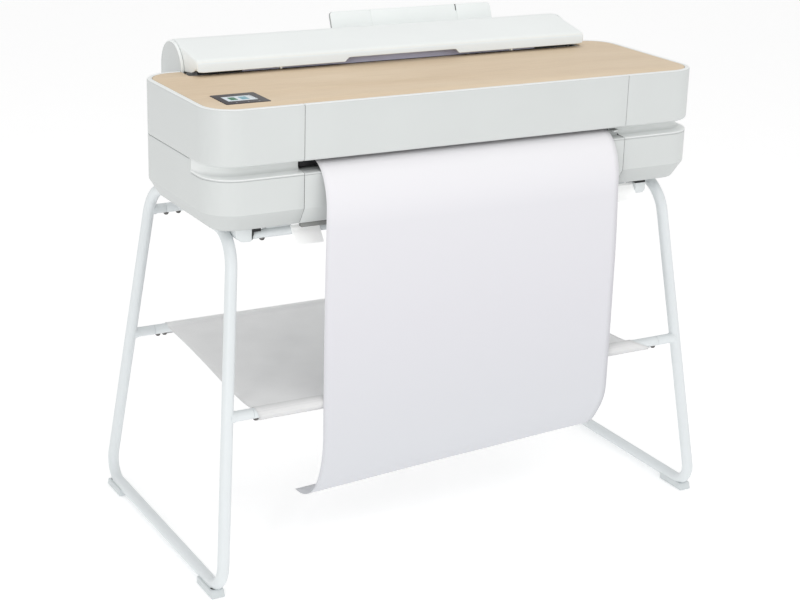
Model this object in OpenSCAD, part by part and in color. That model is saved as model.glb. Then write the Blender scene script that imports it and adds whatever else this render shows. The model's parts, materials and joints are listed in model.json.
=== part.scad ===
// Large format plotter on a tubular stand, with its roll, its ink system and a printed sheet.
// Origin: floor level, at the middle of the footprint. +X to the right, +Z up, the front faces -Y.

/* [Body] */
// Width of the rounded body
body_w = 1013; // [980:1:1050]
// Depth of the rounded body
body_d = 338; // [330:1:345]
// Y of the body's front face
front_y = -224; // [-228:1:-220]
// Radius of the body's vertical corners
corner_r = 60; // [50:1:70]
// Height of the wooden top above the floor
top_z = 866; // [860:1:872]
// Lowest face of the upper covers
cover_z = 767; // [762:1:770]
// Top edge of the lower shells
ledge_z = 747; // [742:1:750]
// Underside of the body
base_z = 652; // [648:1:656]
// Height where the lower shells start to slope inwards
slope_z = 684; // [676:1:692]
// How far the lower shells slope inwards
slope_in = 20; // [14:1:26]
// Distance from the centre to each vertical seam
seam_x = 334.8; // [330:0.2:340]
// Wall thickness of the covers
wall = 3; // [2.5:0.5:3.5]

/* [Wooden top] */
// Width of the white rim around the wood
rim_w = 9.1; // [7:0.1:11]
// Thickness of the wooden top
wood_t = 5; // [4:0.5:6]
// Y where the wood stops in front of the roll cover
wood_back_y = 64; // [60:1:68]

/* [Roll cover] */
// Outer radius of the roll cover
hood_r = 55; // [54:0.5:57]
// Half the length of the roll cover
hood_half = 418.5; // [410:0.5:418.5]
// Y of the roll axis
roll_y = 156; // [154:1:158]
// Z of the roll axis
roll_z = 863; // [861:1:865]
// Y of the front face of the lip
lip_y = 47; // [44:1:50]
// Bottom of the lip
lip_z = 873; // [871:0.5:875]
// Radius of the wound paper
paper_roll_r = 38; // [20:1:40]

/* [Stand] */
// Radius of the frame tube
tube_r = 10.8; // [10:0.1:12]
// Half distance between the side frames at floor level
frame_x = 518; // [515:1:520]
// Inward lean of each side frame for each unit of height
lean_x = 0.101; // [0.095:0.001:0.105]
// Height of the lower rail's centre line
rail_z = 16; // [15.5:0.5:17]
// Height of the top rail's centre line
top_rail_z = 641; // [638:0.1:641.1]
// Radius of the upper bends
top_bend = 70; // [60:1:80]
// Radius of the lower bends
foot_bend = 42; // [35:1:50]
// Height of the basket bars
basket_z = 327; // [320:1:332]
// Radius of the basket bars
bar_r = 9.7; // [9.5:0.1:10]
// How far the basket fabric sags between its bars
basket_sag = 18; // [10:1:24]

/* [Paper] */
// Width of the paper
sheet_w = 610; // [594:1:610]
// Thickness of the paper model
sheet_t = 0.5; // [0.4:0.1:0.6]
// Height of the sheet on the platen
sheet_z = 764; // [763.8:0.1:764.2]

/* [Hidden] */
$fn = 48;
gap = 0.3;
rear_y = front_y + body_d;
mid_y = front_y + body_d / 2;
half_w = body_w / 2;
hood_t = 2.5;
trough_r = hood_r - hood_t - 1;
trough_t = 2;
cheek_r = 50;
cheek_t = 5;
cheek_x = hood_half + 0.5;
lean_deg = atan(lean_x);
front_leg_foot = -284.9;
front_leg_lean = 0.154;
rear_leg_foot = 290.8;
rear_leg_lean = 0.165;
recess_front = front_y + 26.5;
recess_side = 3.5;
recess_end_y = -123;
deck_z = top_z - wood_t;
screen_x = -417;
screen_y = -140.5;
support_lean = 22.9;
support_x0 = -62;
support_x1 = 305;
support_h = 45.2;
support_arm = 64.4;
support_rise = 27.8;
support_pivot = [roll_y + support_arm * cos(support_rise), roll_z + support_arm * sin(support_rise)];
feed_r = 12;
feed_y = -10;
feed_z = sheet_z - sheet_t / 2 - gap - feed_r;
pinch_r = 7;
rod_y = -62;
rod_z = 800;
rod_r = 6;
park_x = 400;
pulley_x = 470;
pulley_r = 8;
belt_y = -46;
belt_z = 818;
upper_bar_y = -170;
upper_bar_z = 632;
upper_bar_r = 8;
brace_z = 587;
brace_r = 9.4;
white = [0.85, 0.86, 0.86];
shade = [0.80, 0.81, 0.81];
tube_white = [0.88, 0.90, 0.91];
steel = [0.70, 0.71, 0.73];
dark = [0.15, 0.15, 0.17];

// ---- Shapes used by several sub-parts ----

// The body's footprint, made smaller all round by inset.
module footprint(inset = 0) {
  w = body_w - 2 * inset;
  d = body_d - 2 * inset;
  r = corner_r - inset;
  translate([0, mid_y]) {
    square([w - 2 * r, d], center = true);
    square([w, d - 2 * r], center = true);
    for (sx = [-1, 1], sy = [-1, 1])
      translate([sx * (w / 2 - r), sy * (d / 2 - r)]) circle(r);
  }
}

module slab(z0, z1, inset = 0) {
  translate([0, 0, z0]) linear_extrude(z1 - z0) footprint(inset);
}

// A slab whose inset runs evenly from in0 at z0 to in1 at z1.
module taper(z0, z1, in0, in1) {
  run_x = half_w - corner_r;
  run_y = body_d / 2 - corner_r;
  h = z1 - z0;
  translate([0, mid_y, z0]) {
    rotate([90, 0, 90]) linear_extrude(2 * run_x, center = true)
      polygon([[in0 - body_d / 2, 0], [body_d / 2 - in0, 0], [body_d / 2 - in1, h], [in1 - body_d / 2, h]]);
    rotate([90, 0, 0]) linear_extrude(2 * run_y, center = true)
      polygon([[in0 - half_w, 0], [half_w - in0, 0], [half_w - in1, h], [in1 - half_w, h]]);
    for (sx = [-1, 1], sy = [-1, 1])
      translate([sx * run_x, sy * run_y]) cylinder(h, corner_r - in0, corner_r - in1);
  }
}

// The footprint of the wall behind the finger groove: deep at the front, shallow at the sides.
module recess_footprint(inset = 0) {
  x = half_w - recess_side - inset;
  y0 = recess_front + inset;
  y1 = rear_y - recess_side - inset;
  r = corner_r - inset;
  translate([-x + r, y0]) square([2 * (x - r), y1 - y0]);
  translate([-x, y0 + r]) square([2 * x, y1 - y0 - 2 * r]);
  for (sx = [-1, 1], y = [y0 + r, y1 - r]) translate([sx * (x - r), y]) circle(r);
}

// Keeps what lies between x0 and x1 (and between y0 and y1 where given).
module between(x0, x1, y0 = -400, y1 = 400) {
  intersection() {
    translate([x0, y0, 0]) cube([x1 - x0, y1 - y0, 1000]);
    children();
  }
}

module bar_x(x0, x1, y, z, r) {
  translate([x0, y, z]) rotate([0, 90, 0]) cylinder(x1 - x0, r, r);
}

module block(x0, x1, y0, y1, z0, z1) {
  translate([x0, y0, z0]) cube([x1 - x0, y1 - y0, z1 - z0]);
}

// A closed loop of tube through corners, taken anticlockwise, with a bend radius at each.
// The straight lengths are a hair thinner than the bends and reach a little way into them.
module tube_loop(corners, bends, r) {
  n = len(corners);
  reach = 0.8;
  function heading(i) = let (d = corners[(i + 1) % n] - corners[i % n]) atan2(d[1], d[0]);
  function turn(i) = (heading(i) - heading(i + n - 1) + 720) % 360;
  function lead(i) = bends[i % n] * tan(turn(i) / 2);
  for (i = [0 : n - 1]) {
    a = heading(i);
    before = heading(i + n - 1);
    start = corners[i] - lead(i) * [cos(before), sin(before)];
    centre = start + bends[i] * [-sin(before), cos(before)];
    leave = corners[i] + (lead(i) - reach) * [cos(a), sin(a)];
    straight = norm(corners[(i + 1) % n] - corners[i]) - lead(i) - lead(i + 1) + 2 * reach;
    translate(leave) rotate([0, 0, a]) rotate([0, 90, 0]) cylinder(straight, r - 0.06, r - 0.06);
    translate(centre) rotate([0, 0, before - 90]) rotate_extrude(angle = turn(i))
      translate([bends[i], 0]) circle(r);
  }
}

// Points on an arc that turns from direction a0 to a1 (degrees below the -Y direction).
function arc_turn(from, r, a0, a1, steps) =
  [for (i = [1 : steps]) let (a = a0 + (a1 - a0) * i / steps)
    from + r * [sin(a0) - sin(a), cos(a) - cos(a0)]];

// ---- Stand ----

function leg_x(z) = frame_x - lean_x * z;
function front_leg_y(z) = front_leg_foot + front_leg_lean * z;
function rear_leg_y(z) = rear_leg_foot - rear_leg_lean * z;

module side_frame() {
  loop_z = [rail_z, top_rail_z];
  along = 1 / cos(lean_deg);
  corners = [[front_leg_y(loop_z[0]), loop_z[0] * along], [rear_leg_y(loop_z[0]), loop_z[0] * along],
             [rear_leg_y(loop_z[1]), loop_z[1] * along], [front_leg_y(loop_z[1]), loop_z[1] * along]];
  translate([-frame_x, 0, 0]) rotate([0, lean_deg, 0]) rotate([90, 0, 90])
    tube_loop(corners, [foot_bend, foot_bend, top_bend, top_bend], tube_r);
}

// Short arms welded to a side frame, which carry the three lower cross bars.
module frame_stubs() {
  for (s = [[front_leg_y(basket_z), basket_z, bar_r, 437.6], [rear_leg_y(basket_z), basket_z, bar_r, 437],
            [rear_leg_y(brace_z), brace_z, brace_r, 426]])
    difference() {
      bar_x(-leg_x(s[1]), -s[3] - gap / 2, s[0], s[1], s[2]);
      bar_x(-s[3] - 30, -s[3], s[0], s[1], s[2] - 3);
    }
}

module side_frame_left() {
  color(tube_white) union() {
    side_frame();
    frame_stubs();
  }
}

module side_frame_right() {
  color(tube_white) mirror([1, 0, 0]) union() {
    side_frame();
    frame_stubs();
  }
}

shoe_len = 70;
shoe_w = 25.5;
shoe_h = 14;
shoe_mid_x = 518.2;
shoe_front_y = -268.5;
module foot_shoes() {
  color(tube_white) for (sx = [-1, 1], y = [shoe_front_y, -shoe_front_y - shoe_len])
    difference() {
      hull() {
        translate([sx * shoe_mid_x - shoe_w / 2, y, 0]) cube([shoe_w, shoe_len, shoe_h - 2]);
        translate([sx * shoe_mid_x - shoe_w / 2 + 2, y + 2, 0]) cube([shoe_w - 4, shoe_len - 4, shoe_h]);
      }
      translate([sx * leg_x(rail_z), y - 5, rail_z]) rotate([-90, 0, 0])
        cylinder(shoe_len + 10, tube_r + 0.1, tube_r + 0.1);
    }
}

// A cross bar with a plug at each end that goes into the frame's stub.
module cross_bar(half_len, y, z, r, plug) {
  bar_x(-half_len, half_len, y, z, r);
  bar_x(-half_len - plug, half_len + plug, y, z, r - 3 - 0.2);
}

module upper_rear_bar() {
  color(tube_white) cross_bar(426 - gap, rear_leg_y(brace_z), brace_z, brace_r, 17);
}

module basket_front_bar() {
  color(tube_white) cross_bar(437.6 - gap, front_leg_y(basket_z), basket_z, bar_r, 28);
}

module basket_rear_bar() {
  color(tube_white) cross_bar(437 - gap, rear_leg_y(basket_z), basket_z, bar_r, 28);
}

// The bar under the front of the body, with two flat lugs that screw to the base.
module upper_front_bar() {
  color(tube_white) {
    bar_x(-402, 402, upper_bar_y, upper_bar_z, upper_bar_r);
    for (x = [-382, 334])
      translate([x, upper_bar_y - 1, upper_bar_z + 2]) cube([48, 20, base_z - upper_bar_z - 2]);
  }
}

bracket_x0 = 398;
bracket_x1 = 443;
module bar_brackets() {
  color(shade) for (sx = [-1, 1]) difference() {
    union() {
      translate([sx * (bracket_x0 + bracket_x1) / 2, upper_bar_y, upper_bar_z + 12])
        cube([bracket_x1 - bracket_x0, 34, 2 * (base_z - upper_bar_z - 12)], center = true);
      for (x = [bracket_x0 + 9, bracket_x1 - 9])
        translate([sx * x, upper_bar_y, upper_bar_z + 1]) rotate([90, 0, 0]) cylinder(34, 9, 9, center = true);
      translate([sx * (bracket_x0 + bracket_x1) / 2, upper_bar_y, upper_bar_z - 2])
        cube([bracket_x1 - bracket_x0 - 18, 34, 12], center = true);
    }
    translate([sx * (bracket_x0 + 4), upper_bar_y, upper_bar_z])
      rotate([0, sx * 90, 0]) cylinder(60, upper_bar_r + 3, upper_bar_r + 3, center = true);
    translate([sx * leg_x(top_rail_z), upper_bar_y - 30, top_rail_z]) rotate([-90, 0, 0])
      cylinder(60, tube_r + 0.1, tube_r + 0.1);
    translate([-600, upper_bar_y - 30, base_z]) cube([1200, 60, 30]);
  }
  // The cross pins that hold the bar's ends in the brackets.
  color(dark) for (sx = [-1, 1]) translate([sx * 405.5, upper_bar_y, upper_bar_z])
    rotate([0, 90, 0]) difference() {
      cylinder(6, upper_bar_r + 3, upper_bar_r + 3, center = true);
      cylinder(8, upper_bar_r + 0.1, upper_bar_r + 0.1, center = true);
    }
}

module bolt_head(x, y, z) {
  translate([x, y, z]) intersection() {
    translate([0, 0, 3]) sphere(6);
    translate([0, 0, -3]) cylinder(7, 5, 5);
  }
}

// Domed screw heads under the bars, shaped to sit against them.
module stand_bolts() {
  color(dark) difference() {
    union() {
      for (sx = [-1, 1]) {
        bolt_head(sx * 431, front_leg_y(basket_z), basket_z - bar_r - 1);
        bolt_head(sx * 429, rear_leg_y(basket_z), basket_z - bar_r - 1);
        bolt_head(sx * 415, rear_leg_y(basket_z), basket_z - bar_r - 1);
        bolt_head(sx * 424, rear_leg_y(brace_z), brace_z - brace_r - 1);
        bolt_head(sx * 399, rear_leg_y(brace_z), brace_z - brace_r - 1);
      }
      bolt_head(-390, upper_bar_y, upper_bar_z - upper_bar_r - 1);
    }
    for (y = [front_leg_y(basket_z), rear_leg_y(basket_z)]) bar_x(-450, 450, y, basket_z, bar_r + 0.05);
    bar_x(-450, 450, rear_leg_y(brace_z), brace_z, brace_r + 0.05);
    bar_x(-450, 450, upper_bar_y, upper_bar_z, upper_bar_r + 0.05);
  }
}

// Two plastic flaps that hook round the upper front bar. They keep a falling sheet off the frame.
module guide_flaps() {
  flap_w = 54;
  color([0.93, 0.93, 0.93]) for (x = [-338, 341]) translate([x, upper_bar_y, upper_bar_z])
    rotate([90, 0, 90]) difference() {
      linear_extrude(flap_w) {
        circle(upper_bar_r + 2);
        polygon([[-8, 6], [-10, 2], [-25, -18], [-27, -17], [-12, 5]]);
      }
      translate([0, 0, -1]) cylinder(flap_w + 2, upper_bar_r + 0.1, upper_bar_r + 0.1);
      translate([-1.3, 1.7, -1]) cube([40, 40, flap_w + 2]);
    }
}

fabric_half = 424;
// The fabric: a sleeve round each bar, and a sheet that sags in an arc between them.
module basket_fabric() {
  y0 = front_leg_y(basket_z);
  y1 = rear_leg_y(basket_z);
  reach = (y1 - y0) / 2 - bar_r;
  sag_r = (reach * reach + basket_sag * basket_sag) / (2 * basket_sag);
  sag_mid = [(y0 + y1) / 2, basket_z + 4 - basket_sag + sag_r];
  color([0.82, 0.82, 0.82]) difference() {
    translate([-fabric_half, 0, 0]) rotate([90, 0, 90]) linear_extrude(2 * fabric_half, convexity = 6) {
      for (y = [y0, y1]) translate([y, basket_z]) difference() {
        circle(bar_r + 2);
        circle(bar_r + gap);
      }
      intersection() {
        translate(sag_mid) difference() {
          circle(sag_r + 1.6, $fn = 96);
          circle(sag_r, $fn = 96);
        }
        translate([y0 + bar_r + 1, basket_z - basket_sag - 20]) square([y1 - y0 - 2 * bar_r - 2, 60]);
      }
    }
    // The rear sleeve is a little shorter, clear of the screws.
    for (sx = [-1, 1]) translate([sx * (fabric_half + 5), y1, basket_z]) cube([40, 30, 60], center = true);
  }
}

// ---- Lower body ----

module lower_body() {
  difference() {
    union() {
      slab(slope_z, ledge_z);
      taper(base_z, slope_z, slope_in, 0);
    }
    slab(slope_z, ledge_z - wall, wall);
    taper(base_z + wall, slope_z, slope_in + wall, wall);
    translate([0, 0, ledge_z - 20]) linear_extrude(40) recess_footprint(2.5);
  }
}

// The wall behind the finger groove, and the side walls that rise to the covers where the groove ends.
module groove_wall() {
  translate([0, 0, ledge_z - 12]) linear_extrude(40) difference() {
    recess_footprint();
    recess_footprint(2.5);
  }
  translate([0, 0, ledge_z - 1]) linear_extrude(cover_z - ledge_z) intersection() {
    difference() {
      footprint();
      footprint(wall + 1);
    }
    translate([-600, recess_end_y]) square([1200, 400]);
  }
}

module lower_left_shell() {
  color(white) between(-600, -seam_x - gap) union() {
    lower_body();
    groove_wall();
  }
}

module lower_right_shell() {
  color(white) between(seam_x + gap, 600) union() {
    lower_body();
    groove_wall();
  }
}

tray_front_y = -186;
module lower_front_panel() {
  color(white) between(-seam_x + gap, seam_x - gap, -400, tray_front_y - gap) lower_body();
}

module base_tray() {
  color(steel) between(-seam_x + gap, seam_x - gap, tray_front_y, 400) union() {
    lower_body();
    intersection() {
      groove_wall();
      translate([-600, 0, 0]) cube([1200, 400, 1000]);
    }
  }
}

// The steel edge that shows under the front panel.
module base_rail() {
  color([0.55, 0.56, 0.54]) block(-330, 330, front_y + slope_in + 1, front_y + slope_in + 13, base_z - 8, base_z);
}

// ---- Upper body ----

bottom_round = 6;
top_round = 3.5;
module upper_body() {
  difference() {
    union() {
      taper(cover_z, cover_z + bottom_round, 5, 0);
      slab(cover_z + bottom_round, top_z - top_round);
      taper(top_z - top_round, top_z, 0, top_round);
    }
    slab(cover_z + wall, top_z - rim_w, wall);
    slab(top_z - rim_w - 1, top_z + 1, rim_w);
    translate([0, 0, cover_z - 1]) linear_extrude(20) recess_footprint(-0.5);
  }
}

// Room for the roll cover and its cheeks behind the top.
module roll_room() {
  x = cheek_x + cheek_t + 1;
  block(-x, x, wood_back_y, rear_y + 10, cover_z - 1, top_z + 10);
}

// The wall beside the roll, inside a side cover.
module roll_side_wall() {
  x = cheek_x + cheek_t + 1;
  block(x, x + 2, wood_back_y, rear_y - 1, cover_z + 9, deck_z - 3 - gap);
}

// The fold-down door turns on pins near its lower edge, held in an ear of each side cover.
door_pin_y = front_y + 10;
door_pin_z = cover_z + 8;
door_pin_r = 2;
module door_ear() {
  difference() {
    block(seam_x + gap, seam_x + 5, front_y + wall - 0.5, door_pin_y + 8, cover_z + wall - 0.5, door_pin_z + 8);
    bar_x(seam_x - 1, seam_x + 8, door_pin_y, door_pin_z, door_pin_r + 0.06);
  }
}

module upper_left_cover() {
  color(white) {
    difference() {
      between(-600, -seam_x - gap) upper_body();
      roll_room();
    }
    mirror([1, 0, 0]) {
      door_ear();
      roll_side_wall();
    }
  }
}

module upper_right_cover() {
  color(white) {
    difference() {
      between(seam_x + gap, 600) upper_body();
      roll_room();
    }
    door_ear();
    roll_side_wall();
  }
}

// The door between the two seams, with its two pins.
module front_door() {
  color(white) {
    between(-seam_x + gap, seam_x - gap, -400, front_y + rim_w) upper_body();
    for (sx = [-1, 1]) {
      x = sx * (seam_x - 8);
      block(x - 2, x + 2, front_y + 2, door_pin_y + 5, door_pin_z - 5, door_pin_z + 5);
      bar_x(sx * (seam_x - 3) - 7, sx * (seam_x - 3) + 7, door_pin_y, door_pin_z, door_pin_r);
    }
  }
}

module deck_outline() {
  difference() {
    footprint(rim_w + gap);
    x = cheek_x + cheek_t + 1;
    translate([-x, wood_back_y]) square([2 * x, 200]);
    translate([screen_x, screen_y]) square([72, 65], center = true);
  }
}

module top_deck() {
  color(white) translate([0, 0, deck_z - 3]) linear_extrude(3) deck_outline();
}

screen_w = 82;
screen_d = 75;
module wood_top() {
  color([0.86, 0.78, 0.66]) translate([0, 0, deck_z]) linear_extrude(wood_t) difference() {
    footprint(rim_w + gap);
    x = cheek_x + cheek_t + 1;
    translate([-x, wood_back_y]) square([2 * x, 200]);
    translate([screen_x, screen_y]) square([screen_w + 2 * gap, screen_d + 2 * gap], center = true);
  }
}

module screen_bezel() {
  color(dark) difference() {
    union() {
      translate([screen_x, screen_y, deck_z]) linear_extrude(wood_t + 0.4) square([screen_w, screen_d], center = true);
      translate([screen_x, screen_y, deck_z - 12]) linear_extrude(12.5) square([70, 63], center = true);
    }
    translate([screen_x, screen_y, top_z - 0.6]) linear_extrude(5) square([60, 39], center = true);
  }
}

module screen_glass() {
  color([0.9, 0.93, 0.95]) translate([screen_x, screen_y, top_z - 0.6])
    linear_extrude(0.8) square([60 - gap, 39 - gap], center = true);
}

// The rear wall, with a slot for the paper that comes from the roll.
plate_x0 = -410;
plate_x1 = -316;
plate_z0 = 778;
plate_z1 = 802;
module rear_cover() {
  half = cheek_x + cheek_t + 1 - gap;
  color(white) difference() {
    block(-half, half, rear_y - wall, rear_y, cover_z, roll_z - 36);
    block(-312, 312, rear_y - 20, rear_y + 20, 798, 816);
    translate([-490, roll_y, roll_z]) rotate([0, 90, 0]) cylinder(980, trough_r + 0.2, trough_r + 0.2);
    block(plate_x0 - gap, plate_x1 + gap, rear_y - 20, rear_y + 20, plate_z0 - gap, plate_z1 + gap);
    for (sx = [-1, 1])
      block(sx * 421.5 - 3, sx * 421.5 + 3, rear_y - 20, rear_y + 20, roll_z - cheek_r - gap, roll_z);
  }
}

trough_half = hood_half - hood_t - 0.5;
// The fixed trough under the roll, open above and slotted at its front for the paper.
module roll_trough() {
  color(white) difference() {
    translate([-trough_half, roll_y, roll_z]) rotate([0, 90, 0]) difference() {
      cylinder(2 * trough_half, trough_r, trough_r);
      translate([0, 0, -1]) cylinder(2 * trough_half + 2, trough_r - trough_t, trough_r - trough_t);
    }
    block(-430, 430, roll_y - 60, roll_y + 60, roll_z, roll_z + 60);
    block(-312, 312, roll_y - 45, roll_y - 8, roll_z - 60, roll_z - 26);
  }
}

// The domed end cheeks that stand beside the roll cover.
module roll_cheeks() {
  edge = 2;
  color(shade) for (sx = [-1, 1]) translate([sx * cheek_x, roll_y, roll_z])
    rotate([0, sx * 90, 0]) difference() {
      union() {
        cylinder(cheek_t - edge, cheek_r, cheek_r);
        translate([0, 0, cheek_t - edge]) cylinder(edge, cheek_r, cheek_r - edge);
        translate([sx > 0 ? 0 : -50, -cheek_r, 0]) cube([50, 2 * cheek_r, cheek_t - edge]);
        translate([sx > 0 ? 0 : -50, -cheek_r + edge, 0]) cube([50, 2 * cheek_r - 2 * edge, cheek_t]);
      }
      translate([0, 0, -1]) cylinder(4, 4.05, 4.05);
    }
}

// ---- Roll cover ----

// The cover's side outline, measured from the roll axis: an arc, a flat top and the lip.
lip_back = roll_y - lip_y;
lip_low = lip_z - roll_z;
lip_high = 32;
top_tilt = acos(hood_r / norm([lip_back, lip_high])) - atan2(lip_back, lip_high) + 90;
tangent = hood_r * [-sin(90 - top_tilt), cos(90 - top_tilt)];

module hood_side(inset) {
  difference() {
    union() {
      circle(hood_r - inset, $fn = 96);
      polygon([[0, 0], [-lip_back + inset, lip_low], [-lip_back + inset, lip_high - inset],
               [tangent[0], tangent[1] - inset], [0, hood_r - inset]]);
    }
    translate([-200, -200]) square([400, 200]);
    translate([-200, -1]) square([200, lip_low + 1]);
  }
}

finger_half = 124;
module roll_cover() {
  color([0.94, 0.95, 0.95]) translate([0, roll_y, roll_z]) {
    difference() {
      translate([-hood_half, 0, 0]) rotate([90, 0, 90]) linear_extrude(2 * hood_half) hood_side(0);
      translate([-hood_half + hood_t, 0, 0]) rotate([90, 0, 90])
        linear_extrude(2 * hood_half - 2 * hood_t) hood_side(hood_t);
      translate([-hood_half + hood_t, -lip_back + hood_t, lip_low - 5])
        cube([2 * hood_half - 2 * hood_t, lip_back - trough_r - 6, 12]);
      translate([-finger_half, -lip_back - 1, lip_low - 1]) cube([2 * finger_half, 6, 10]);
    }
    // Pins that turn in the cheeks, on round ears that hang from the ends.
    for (sx = [-1, 1]) {
      translate([sx * (hood_half - hood_t / 2), 0, 0]) rotate([0, 90, 0]) cylinder(hood_t, 12, 12, center = true);
      translate([sx * (hood_half + 1.5), 0, 0]) rotate([0, 90, 0]) cylinder(4, 4, 4, center = true);
    }
    for (x = [-250, 250]) translate([x - 2, -lip_back + 2, lip_low - 4]) cube([4, 12, 8]);
    // Two barrels behind the cover for the sheet support.
    for (x = [-40, 270]) support_barrel(x, 14);
  }
}

module support_barrel(x, w) {
  pivot = support_pivot - [roll_y, roll_z];
  difference() {
    union() {
      translate([x, pivot[0], pivot[1]]) rotate([0, 90, 0]) cylinder(w, 4, 4, center = true);
      intersection() {
        rotate([support_rise, 0, 0]) translate([x - w / 2, 50, -3]) cube([w, support_arm - 51, 6]);
        difference() {
          translate([x - w / 2, 0, 0]) cube([w, 80, 60]);
          rotate([0, 90, 0]) cylinder(1000, hood_r - 1, hood_r - 1, center = true);
        }
      }
    }
    translate([x, pivot[0], pivot[1]]) rotate([0, 90, 0]) cylinder(w + 2, 2.05, 2.05, center = true);
  }
}

// Places a child in the sheet support's own frame: x along the roll, y behind the panel, z up it.
module on_support() {
  translate([0, support_pivot[0], support_pivot[1]]) rotate([-support_lean, 0, 0]) children();
}

extension_x0 = 27;
extension_x1 = 223;
module sheet_support() {
  color(white) on_support() difference() {
    union() {
      translate([support_x0, -1.5, 6]) cube([support_x1 - support_x0, 4, support_h - 6]);
      for (x = [-53, -27, 257, 283]) {
        translate([x - 4, 0, 0]) rotate([0, 90, 0]) translate([0, 0, 0]) cylinder(8, 4, 4);
        translate([x - 4, -1.5, 0]) cube([8, 4, 7]);
      }
      for (x = [-40, 270]) translate([x, 0, 0]) rotate([0, 90, 0]) cylinder(26, 2, 2, center = true);
    }
    translate([extension_x0 - gap, -2.5, 10]) cube([extension_x1 - extension_x0 + 2 * gap, 3, support_h]);
  }
}

module sheet_extension() {
  color([0.9, 0.91, 0.91]) on_support()
    translate([extension_x0, -1.5, 10 + gap]) cube([extension_x1 - extension_x0, 1.7, support_h - 10 - gap]);
}

// The slot for single sheets: a ramp under the lip that leads to the feed roller.
module sheet_slot() {
  color([0.46, 0.46, 0.52]) {
    translate([-310, 0, 0]) rotate([90, 0, 90]) linear_extrude(620)
      polygon([[wood_back_y + 2, 861], [98, 863], [98, 858], [wood_back_y + 6, 856], [20, 782], [16, 784]]);
  }
  color(dark) for (sx = [-1, 1])
    block(min(sx * 312, sx * 417), max(sx * 312, sx * 417), wood_back_y + 2, 98, 852, 856);
}

// ---- Roll ----

hub_x = 306;
saddle_x = 345;
module spindle() {
  color(dark) {
    bar_x(-hub_x - 22, hub_x + 22, roll_y, roll_z, 12);
    bar_x(-saddle_x - 14, saddle_x + 14, roll_y, roll_z, 6);
  }
}

module spindle_hubs() {
  color([0.25, 0.45, 0.6]) for (sx = [-1, 1]) difference() {
    union() {
      bar_x(sx * (hub_x + 3) - 2, sx * (hub_x + 3) + 2, roll_y, roll_z, 43);
      bar_x(sx * (hub_x + 9) - 6, sx * (hub_x + 9) + 6, roll_y, roll_z, 22);
    }
    bar_x(-400, 400, roll_y, roll_z, 12);
  }
}

module spindle_saddles() {
  color(shade) for (sx = [-1, 1]) difference() {
    intersection() {
      block(sx * saddle_x - 5, sx * saddle_x + 5, roll_y - 14, roll_y + 14, roll_z - trough_r, roll_z + 8);
      bar_x(-400, 400, roll_y, roll_z, trough_r - trough_t - 0.2);
    }
    bar_x(-400, 400, roll_y, roll_z, 6.08);
    block(-400, 400, roll_y - 6.08, roll_y + 6.08, roll_z, roll_z + 20);
  }
}

module paper_roll() {
  color([0.93, 0.93, 0.95]) difference() {
    bar_x(-sheet_w / 2, sheet_w / 2, roll_y, roll_z, paper_roll_r);
    bar_x(-400, 400, roll_y, roll_z, 12);
  }
}

// ---- Paper: from the roll, over the platen, out of the slot and down in front ----

path_slope = 20;
hang_z = 262;
function offset_path(p, t) = [for (i = [0 : len(p) - 1])
  let (a = p[max(i - 1, 0)], b = p[min(i + 1, len(p) - 1)], d = (b - a) / norm(b - a))
    p[i] + t * [-d[1], d[0]]];
sheet_start = [roll_y + (paper_roll_r + 1.2) * sin(path_slope), roll_z - (paper_roll_r + 1.2) * cos(path_slope)];
sheet_flat = [sheet_start[0] - (sheet_start[1] - sheet_z) / tan(path_slope), sheet_z];
sheet_edge = [-188, sheet_z];
over = concat([sheet_edge], arc_turn(sheet_edge, 55, 0, 60, 8));
fall = arc_turn(over[len(over) - 1], 110, 60, 90, 4);
hang = [fall[len(fall) - 1][0], hang_z];
curl = arc_turn(hang, 200, 90, 120, 5);
tip = arc_turn(curl[len(curl) - 1], 92, 120, 177, 9);
sheet_path = concat([sheet_start, sheet_flat], over, fall, [hang], curl, tip);

module paper_sheet() {
  inner = offset_path(sheet_path, sheet_t / 2);
  outer = offset_path(sheet_path, -sheet_t / 2);
  flip = [for (i = [len(outer) - 1 : -1 : 0]) outer[i]];
  color([0.92, 0.92, 0.95]) translate([-sheet_w / 2, 0, 0]) rotate([90, 0, 90])
    linear_extrude(sheet_w) polygon(concat(inner, flip));
}

// ---- Paper drive ----

module platen() {
  color(dark) difference() {
    block(-330, 330, -192, 40, 750, sheet_z - 2.5);
    block(-331, 331, feed_y - 14, feed_y + 14, 740, 800);
    for (x = [-300 : 60 : 300]) block(x - 8, x + 8, -120, -70, sheet_z - 4, 800);
  }
}

module feed_roller() {
  color([0.3, 0.3, 0.32]) {
    bar_x(-318, 318, feed_y, feed_z, feed_r);
    bar_x(-352, 345, feed_y, feed_z, 5);
  }
}

module feed_bearings() {
  color(steel) for (x = [-326, 332]) difference() {
    block(x - 4, x + 4, feed_y - 13, feed_y + 13, feed_z - 14, feed_z + 9);
    bar_x(x - 6, x + 6, feed_y, feed_z, 5.05);
  }
}

// A spur gear: teeth of module tooth_m around a web, on an axis along X.
module spur_gear(teeth, tooth_m, thick, bore_r) {
  root = tooth_m * (teeth / 2 - 1.2);
  tip_r = tooth_m * (teeth / 2 + 0.85);
  step = 360 / teeth;
  linear_extrude(thick) difference() {
    union() {
      circle(root + 0.02, $fn = 2 * teeth);
      for (i = [0 : teeth - 1]) rotate(i * step)
        polygon([[root - 0.3, -0.40 * tooth_m * 1.9], [tip_r, -0.36 * tooth_m], [tip_r, 0.36 * tooth_m],
                 [root - 0.3, 0.40 * tooth_m * 1.9]]);
    }
    circle(bore_r);
  }
}

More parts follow.
